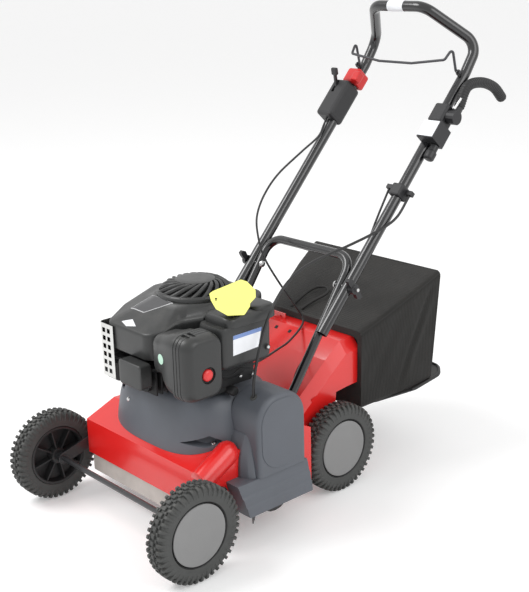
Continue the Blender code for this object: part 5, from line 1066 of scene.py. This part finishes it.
upper_x = 0.155
tab_along = 0.5588
tab_off = 0.0213
loop = mirrored([on_slope(-0.118, 0, upper_x), on_slope(0.5724, 0, upper_x),
    at(upper_x, 0.948, 0.938), at(0.076, 0.852, 1.024)])
upper = pipe(filleted(loop, 0.042, 14, closed=False), 0.0125)
half_tab = Vector((0.0018, 0, 0))
for side in (1, -1):
    tab_at = on_slope(tab_along, tab_off, side * upper_x)
    tab_foot = on_slope(tab_along, 0.0117, side * upper_x)
    merged(upper, bar(tab_at - half_tab, tab_at + half_tab,
        ((0, 0.0036), (0, 0.0066), (0.15, 0.007), (0.85, 0.007), (1, 0.0066), (1, 0.0036),
        (0, 0.0036))))
    across = on_slope(tab_along + 0.006, tab_off, side * upper_x) - tab_at
    merged(upper, skin([[p + across * a + half_tab * b for a, b in SQUARE]
        for p in (tab_foot, tab_at + (tab_foot - tab_at) * 0.5)]))
piece_from("upper_handle", upper, tube_black, "tube_black", "handle", 40)
lower_x = 0.1322
foot = at(0, 0.346, 0.208)
lean = (fold - foot).normalized()
foot_line = mirrored([foot + Vector((lower_x, 0, 0)) + lean * 0.0005, at(lower_x, 0.56, 0.508)])
lower = pipe(filleted(foot_line, 0.04, 14, closed=False), 0.01)
piece_from("lower_handle", lower, tube_black, "tube_black", smooth=40)

# Fold bolts and wing knobs
# Two bolts with domed bright heads join the handles, and black wing knobs outside draw them up.
bolt_steel = finish("bolt_steel", (200, 200, 200), 0.28, metallic=1.0)
dress(["fold_bolt_left", "fold_bolt_right"], bolt_steel, 0.0005)
# The black plastic has a painted highlight along its edges.
black_plastic = finish("black_plastic", (34, 34, 36), 0.46, grain=0.0006, depth=0.00006, vary=0.08,
    edge_highlight=0.25, edge_highlight_tone=(90, 90, 92))
dress(["wing_knob_left", "wing_knob_right"], black_plastic, 0.0016, steps=3)

# Bail
# The bail that engages the rotor is bent grey wire, and its ends hook through tabs on the tubes.
wire_grey = finish("wire_grey", (70, 70, 73), 0.34, vary=0.08, metallic=0.6)
pivot = on_slope(tab_along, tab_off)
bail_line = mirrored([Vector((x, pivot.y + y, pivot.z + z))
    for x, y, z in ((0.1615, 0, 0), (0.1485, 0, 0), (0.1485, -0.014, 0.054), (0.1425, -0.034, 0.03),
    (0.05, -0.039, 0.018))])
piece_from("bail", wire(filleted(bail_line, 0.006, 8, closed=False), 0.003, 20), wire_grey,
    "tube_black", "bail_wire", 50)

# Throttle box and safety lock
# A moulded box round the far tube holds the throttle lever. The red lock above it wraps the same
# tube, and twists before the bail can be drawn in.
dress(["throttle_box", "throttle_lever"], black_plastic, 0.0016, steps=3)
lock_red = finish("lock_red", (206, 36, 36), 0.34, vary=0.04, coat=0.1)
dress(["safety_lock"], lock_red, 0.0022, steps=3)

# Depth lever, its clamp, the scale box and the adjuster
# The lever that lowers the rotor is a curved ribbed sleeve over a steel arm, on a clamp round the
# near tube. The box below carries a blank scale, and its serrated knob sets the depth.
dress(["lever_bracket", "depth_scale_box", "depth_knob", "cable_clip"], black_plastic, 0.0014,
    steps=3)
dress(["depth_lever"], black_plastic, 0.0008)
lever_x = 0.1905
lever_foot = on_slope(0.452, 0.002, lever_x)
sleeve_route = smooth_line([lever_foot, lever_foot + Vector((0, 0.02, 0.022)),
    at(lever_x, 0.868, 0.851), at(lever_x, 0.915, 0.857), at(lever_x, 0.965, 0.842),
    at(lever_x, 1.0, 0.812)], 60)[56:]
sleeve_radii = []
for k in range(len(sleeve_route)):
    rib = 0.5 - 0.5 * cos(2 * pi * k / 7.0)
    end = min(1.0, (len(sleeve_route) - 1 - k) / 5.0, (k + 1) / 3.0)
    sleeve_radii.append((0.0112 + 0.001 * rib) * (end * (2 - end)) ** 0.5)
sleeve_black = finish("sleeve_black", (28, 28, 29), 0.5, grain=0.001, depth=0.00005)
piece_from("lever_sleeve", wire(sleeve_route, None, 28, sleeve_radii), sleeve_black, "tube_black",
    "depth_arm", 60)
scale_plate = [on_slope(along, 0.0339, x) for along, x in ((0.3785, 0.1475), (0.3785, 0.191),
    (0.419, 0.191), (0.419, 0.1475))]
scale_face = on_slope(0, 0.0005) - on_slope(0, 0)
piece_from("scale_plate", skin([scale_plate, [p + scale_face for p in scale_plate]]), label_white,
    "tube_black", "handle")
piece_from("grip_label", spun(((0, 0.0126), (0, 0.0129), (0.0465, 0.0129), (0.0465, 0.0126)),
    at(-0.0263, 0.852, 1.024), (1, 0, 0), 40), label_white, "tube_black", "handle")
lever_pin = bar(on_slope(0.455, -0.004, 0.176), on_slope(0.455, -0.004, 0.1985),
    ((0, 0), (0, 0.0042), (0.9, 0.0042), (1, 0.003), (1, 0)))
merged(lever_pin, pin(on_slope(0.468, 0.012, 0.19), on_slope(0.496, 0.014, 0.195), 0.0032))
piece_from("lever_pin", lever_pin, bright_zinc, "tube_black", "handle")

# Cables
# Three sheathed cables run from the controls to the engine, the belt tension arm and the depth
# frame. They are held at both ends; each is drawn as one fixed curve, which does not follow the
# handle when it folds.
cable_black = finish("cable_black", (26, 26, 27), 0.42)
cables = (
    ("throttle_cable", 0.0025,
        ((0.4014, 0.018, -0.161), (0.38, 0.018, -0.157), (0.345, 0.02, -0.151)),
        ((-0.152, 0.68, 0.691), (-0.152, 0.604, 0.649), (-0.145, 0.552, 0.608),
         (-0.13, 0.515, 0.567), (-0.11, 0.499, 0.526), (-0.09, 0.498, 0.48), (-0.06, 0.513, 0.425),
         (-0.035, 0.539, 0.369), (-0.022, 0.553, 0.3345), (-0.004, 0.53, 0.322),
         (0.04, 0.45, 0.318), (0.08, 0.38, 0.328), (0.112, 0.31, 0.334), (0.129, 0.236, 0.333),
         (0.13, 0.201, 0.332))),
    ("clutch_cable", 0.003,
        ((0.2457, -0.006, 0.18), (0.187, -0.005, 0.178), (0.132, 0.023, 0.172)),
        ((0.172, 0.498, 0.551), (0.175, 0.45, 0.547), (0.18, 0.372, 0.536), (0.187, 0.317, 0.518),
         (0.196, 0.275, 0.492), (0.202, 0.245, 0.46), (0.205, 0.2235, 0.422), (0.205, 0.21, 0.3794),
         (0.205, 0.2, 0.3381), (0.205, 0.1985, 0.306), (0.205, 0.201, 0.298))),
    ("depth_cable", 0.0025,
        ((0.2457, 0.01, 0.131), (0.17, 0.004, 0.137), (0.12, -0.006, 0.1375),
         (0.06, -0.024, 0.128)),
        ((0.122, 0.5, 0.4), (0.118, 0.44, 0.322), (0.116, 0.405, 0.285), (0.12, 0.385, 0.256),
         (0.1215, 0.3755, 0.2345))))
for name, radius, on_handle, on_machine in cables:
    route = [on_slope(*p) for p in on_handle] + [at(*p) for p in on_machine]
    cable = piece_from(name, wire(smooth_line(route, 10), radius, 14), cable_black, "cable_black",
        None, 60)
    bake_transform(cable)

# Collector bag
# Four panels of black-brown woven polyester and a back, sewn over a wire frame with piped seams.
# The cloth sags between its seams, and the sides fold where the bag has been flattened.
bag_cloth = finish("bag_cloth", (30, 29, 27), 0.86, grain=0.003, depth=0.0003, drift=0.05,
    vary=0.16, dust=0.06, dust_tone=(110, 102, 92))
cloth_tree = bag_cloth.node_tree
cloth_shader = cloth_tree.nodes["Principled BSDF"]
cloth_place = node(cloth_tree, "ShaderNodeSeparateXYZ",
    {"Vector": node(cloth_tree, "ShaderNodeTexCoord").outputs["Object"]})
weave = 0.0
for label in ("X", "Y", "Z"):
    turns = sums(cloth_tree, "MULTIPLY", cloth_place.outputs[label], 2 * pi / 0.0022)
    weave = sums(cloth_tree, "ADD", weave, sums(cloth_tree, "SINE", turns, 0.0))
cloth_bump = node(cloth_tree, "ShaderNodeBump", {"Height": weave, "Distance": 0.00012,
    "Normal": cloth_shader.inputs["Normal"].links[0].from_socket})
wired(cloth_tree, cloth_shader, {"Normal": cloth_bump.outputs["Normal"], "Sheen Weight": 0.12,
    "Sheen Roughness": 0.5})
bag_rows = ((0.5675, 0.5675, 0.152, 0.15, 0.15, 0.336), (0.63, 0.63, 0.17, 0.168, 0.161, 0.368),
    (0.7, 0.69, 0.19, 0.188, 0.173, 0.408), (0.773, 0.752, 0.206, 0.2, 0.187, 0.447))
wall = 0.0025
inwards = (Vector((0, 0, 1)), Vector((-1, 0, 0)), Vector((0, 0, -1)), Vector((1, 0, 0)))


def bag_corners(along, inset):
    """The four corners of the bag's section, from its mouth at 0 to its back at 1."""
    spot = min(along * 3, 2.9999)
    k = int(spot)
    y_top, y_low, top, foot, low, high = [a + (b - a) * (spot - k)
        for a, b in zip(bag_rows[k], bag_rows[k + 1])]
    return [at(inset - foot, y_low, low + inset), at(foot - inset, y_low, low + inset),
        at(top - inset, y_top, high - inset), at(inset - top, y_top, high - inset)]


def slack(side, across, along):
    """How far the cloth stands in from the straight panel, by its side and place."""
    if side == 0:
        return 0.0
    hang = sin(pi * across) * sin(pi * min(along, 1.0) ** 0.8) ** 0.7
    crumple = (0.5 + 0.25 * sin(9.0 * across + 14.0 * along + side)
        + 0.25 * sin(23.0 * along - 11.0 * across))
    depth = hang * (0.0034 + 0.003 * crumple)
    if side != 2:
        rise = across if side == 1 else 1 - across
        off = (along - 0.5) - 0.42 * rise
        crease = 0.0042 * exp(-(off / 0.035) ** 2) - 0.0022 * exp(-((off - 0.06) / 0.045) ** 2)
        depth += max(crease, -depth) * sin(pi * rise) ** 0.5
    return depth


corner_points = 6
edge_points = 25


def cloth_ring(corners, radius, along=None):
    """A section's loop, its corners rounded and its edges hanging slack."""
    rounded_loop = filleted(corners, radius, corner_points - 1)
    ring = []
    for side in range(4):
        end = corner_points * (side + 1)
        turn = rounded_loop[end - corner_points:end]
        onward = rounded_loop[end % len(rounded_loop)]
        ring += turn
        for k in range(edge_points):
            share = (k + 1) / (edge_points + 1)
            spot = turn[-1].lerp(onward, share)
            ring.append(spot if along is None else spot + inwards[side] * slack(side, share, along))
    return ring


def back_ring(inset, share):
    """A loop on the back panel, shrunk towards its middle and hanging slack."""
    edge = cloth_ring(bag_corners(1.0, inset), 0.012, 1.0)
    middle = sum(edge, Vector()) / len(edge)
    back = Vector((0, 0.26, -0.021)).normalized()
    return [middle.lerp(p, share) - back * (0.006 * (1 - share ** 2)
        + 0.001 * (1 - share) * sin(30 * p.x + 20 * share) + inset) for p in edge]


mouth = [at(x, 0.5675, z) for x, z in ((-0.1395, 0.2145), (0.1395, 0.2145), (0.1395, 0.3212),
    (-0.1395, 0.3212))]
stations = [k / 36 for k in range(37)]
shares = [0.985, 0.94, 0.86, 0.76, 0.64, 0.5, 0.36, 0.22, 0.08]
cloth = [back_ring(wall, s) for s in reversed(shares)]
cloth += [cloth_ring(bag_corners(a, wall), 0.01, a) for a in reversed(stations[1:])]
cloth += [[p + Vector((0, wall, 0)) for p in ring]
    for ring in (cloth_ring(bag_corners(0.0, wall), 0.01), cloth_ring(mouth, 0.016))]
cloth += [cloth_ring(mouth, 0.016)]
cloth += [cloth_ring(bag_corners(a, 0.0), 0.012, a) for a in stations]
cloth += [back_ring(0.0, s) for s in shares]
piece_from("collector_bag", skin(cloth), bag_cloth, "bag_cloth", "bag", 50)
piping_black = finish("piping_black", (30, 29, 28), 0.66, grain=0.0015, depth=0.0001)
piping = []
for corner in (2, 3):
    seam = corner * (corner_points + edge_points) + 2
    edge = [cloth_ring(bag_corners(a, 0.0012), 0.012)[seam] for a in stations]
    piping.append(wire(edge, 0.0017, 10))
back_seam = cloth_ring(bag_corners(0.994, 0.001), 0.012)
middle = sum(back_seam, Vector()) / len(back_seam)
piping.append(skin([[p + (p - middle).normalized() * (0.0016 * cos(t))
    + Vector((0, 0.0016 * sin(t), 0)) for t in full_turn(8)] for p in back_seam], closed=True))
piece_from("bag_piping", merged(*piping), piping_black, "bag_cloth", "bag", 60)
strap_route = ((-0.088, 0.58, 0.342), (-0.0826, 0.6, 0.3565), (-0.0745, 0.6255, 0.3725),
    (-0.062, 0.641, 0.3815), (-0.041, 0.6475, 0.385), (-0.023, 0.64, 0.381),
    (-0.024, 0.6255, 0.373), (-0.04, 0.602, 0.359), (-0.054, 0.58, 0.343))
strap_line = smooth_line([at(*p) for p in strap_route], 8)
piece_from("carry_strap", wire(strap_line, 0.0032, 16), piping_black, "bag_cloth", "bag", 60)

# Bag base
# A tray of black polypropylene closes the bottom. Its rounded end sticks out behind the cloth and
# turns up in a rim.
base_plastic = finish("base_plastic", (28, 28, 29), 0.48, grain=0.0008, depth=0.00006, dust=0.15,
    dust_tone=(130, 124, 112))
base_half = ((0.2, 0.7), (0.207, 0.78), (0.18, 0.81), (0.12, 0.816))
base_corners = [(-0.15, 0.6), (0.15, 0.6), *base_half, *((-x, y) for x, y in reversed(base_half))]
base_line = filleted([at(x, y, 0) for x, y in base_corners], 0.03, 8)


def base_height(y):
    """The height of the tray's middle, which rises to the rear."""
    return 0.1565 + (y - st(0.6)) * (0.037 / 0.1845)


base_tray = worked(skin([[Vector((p.x, p.y, base_height(p.y) + k)) for p in base_line]
    for k in (-0.002, 0.002)]), 0.0012)
rim_line = [Vector((p.x * 0.985, p.y - 0.0032, base_height(p.y) + 0.0016))
    for p in base_line if p.y > st(0.69)]
merged(base_tray, wire(rim_line, 0.0028))
piece_from("bag_base", base_tray, base_plastic, "bag_cloth", "bag", 40)

# Floor and light
# A plain white floor lies under a pale studio sky. A broad lamp stands high on the left, and a
# weaker one on the right.
studio = bpy.data.worlds.new("studio")
bpy.context.scene.world = studio
studio.use_nodes = True
sky = studio.node_tree


def seen_by_camera(tree):
    """1 for the camera's own rays and for reflections."""
    rays = node(tree, "ShaderNodeLightPath").outputs
    return sums(tree, "MAXIMUM", rays["Is Camera Ray"], rays["Is Glossy Ray"])


through = node(sky, "ShaderNodeLightPath").outputs["Is Transmission Ray"]
seen = sums(sky, "MAXIMUM", seen_by_camera(sky), through)
light = wired(sky, sky.nodes["Background"], {"Color": (1, 1, 1, 1), "Strength": 0.78})
backdrop = node(sky, "ShaderNodeBackground", {"Color": (1, 1, 1, 1), "Strength": 1.0})
either = node(sky, "ShaderNodeMixShader", {0: seen, 1: light.outputs[0], 2: backdrop.outputs[0]})
wired(sky, sky.nodes["World Output"], {"Surface": either.outputs[0]})

floor_white = bpy.data.materials.new("floor_white")
floor_white.use_nodes = True
floor_tree = floor_white.node_tree
floor_shader = wired(floor_tree, floor_tree.nodes["Principled BSDF"],
    {"Base Color": (0.88, 0.88, 0.88, 1), "Roughness": 0.9, "Specular IOR Level": 0.1})
floor_glow = node(floor_tree, "ShaderNodeEmission", {"Color": (1, 1, 1, 1), "Strength": 0.22})
floor_both = node(floor_tree, "ShaderNodeAddShader",
    {0: floor_shader.outputs[0], 1: floor_glow.outputs[0]})
floor_pick = node(floor_tree, "ShaderNodeMixShader",
    {0: seen_by_camera(floor_tree), 1: floor_shader.outputs[0], 2: floor_both.outputs[0]})
wired(floor_tree, floor_tree.nodes["Material Output"], {"Surface": floor_pick.outputs[0]})
floor_mesh = bpy.data.meshes.new("floor")
floor_half = 30.0
floor_mesh.from_pydata([(a * floor_half, b * floor_half, 0) for a, b in SQUARE], [], [(0, 1, 2, 3)])
floor_mesh.materials.append(floor_white)
floor = bpy.data.objects.new("floor", floor_mesh)
bpy.context.scene.collection.objects.link(floor)


def lamp(name, place, size, power):
    """A broad soft lamp that looks at the machine."""
    made = bpy.data.lights.new(name, "AREA")
    made.shape = "DISK"
    made.size = size
    made.energy = power
    holder = bpy.data.objects.new(name, made)
    bpy.context.scene.collection.objects.link(holder)
    holder.location = place
    holder.rotation_euler = (Vector(place) - Vector((0, 0, 0.4))).to_track_quat("Z", "Y").to_euler()


lamp("key", (-1.6, -2.2, 3.4), 2.2, 85)
lamp("fill", (3.2, 0.4, 2.6), 2.6, 40)

bpy.context.scene.view_settings.view_transform = "Standard"
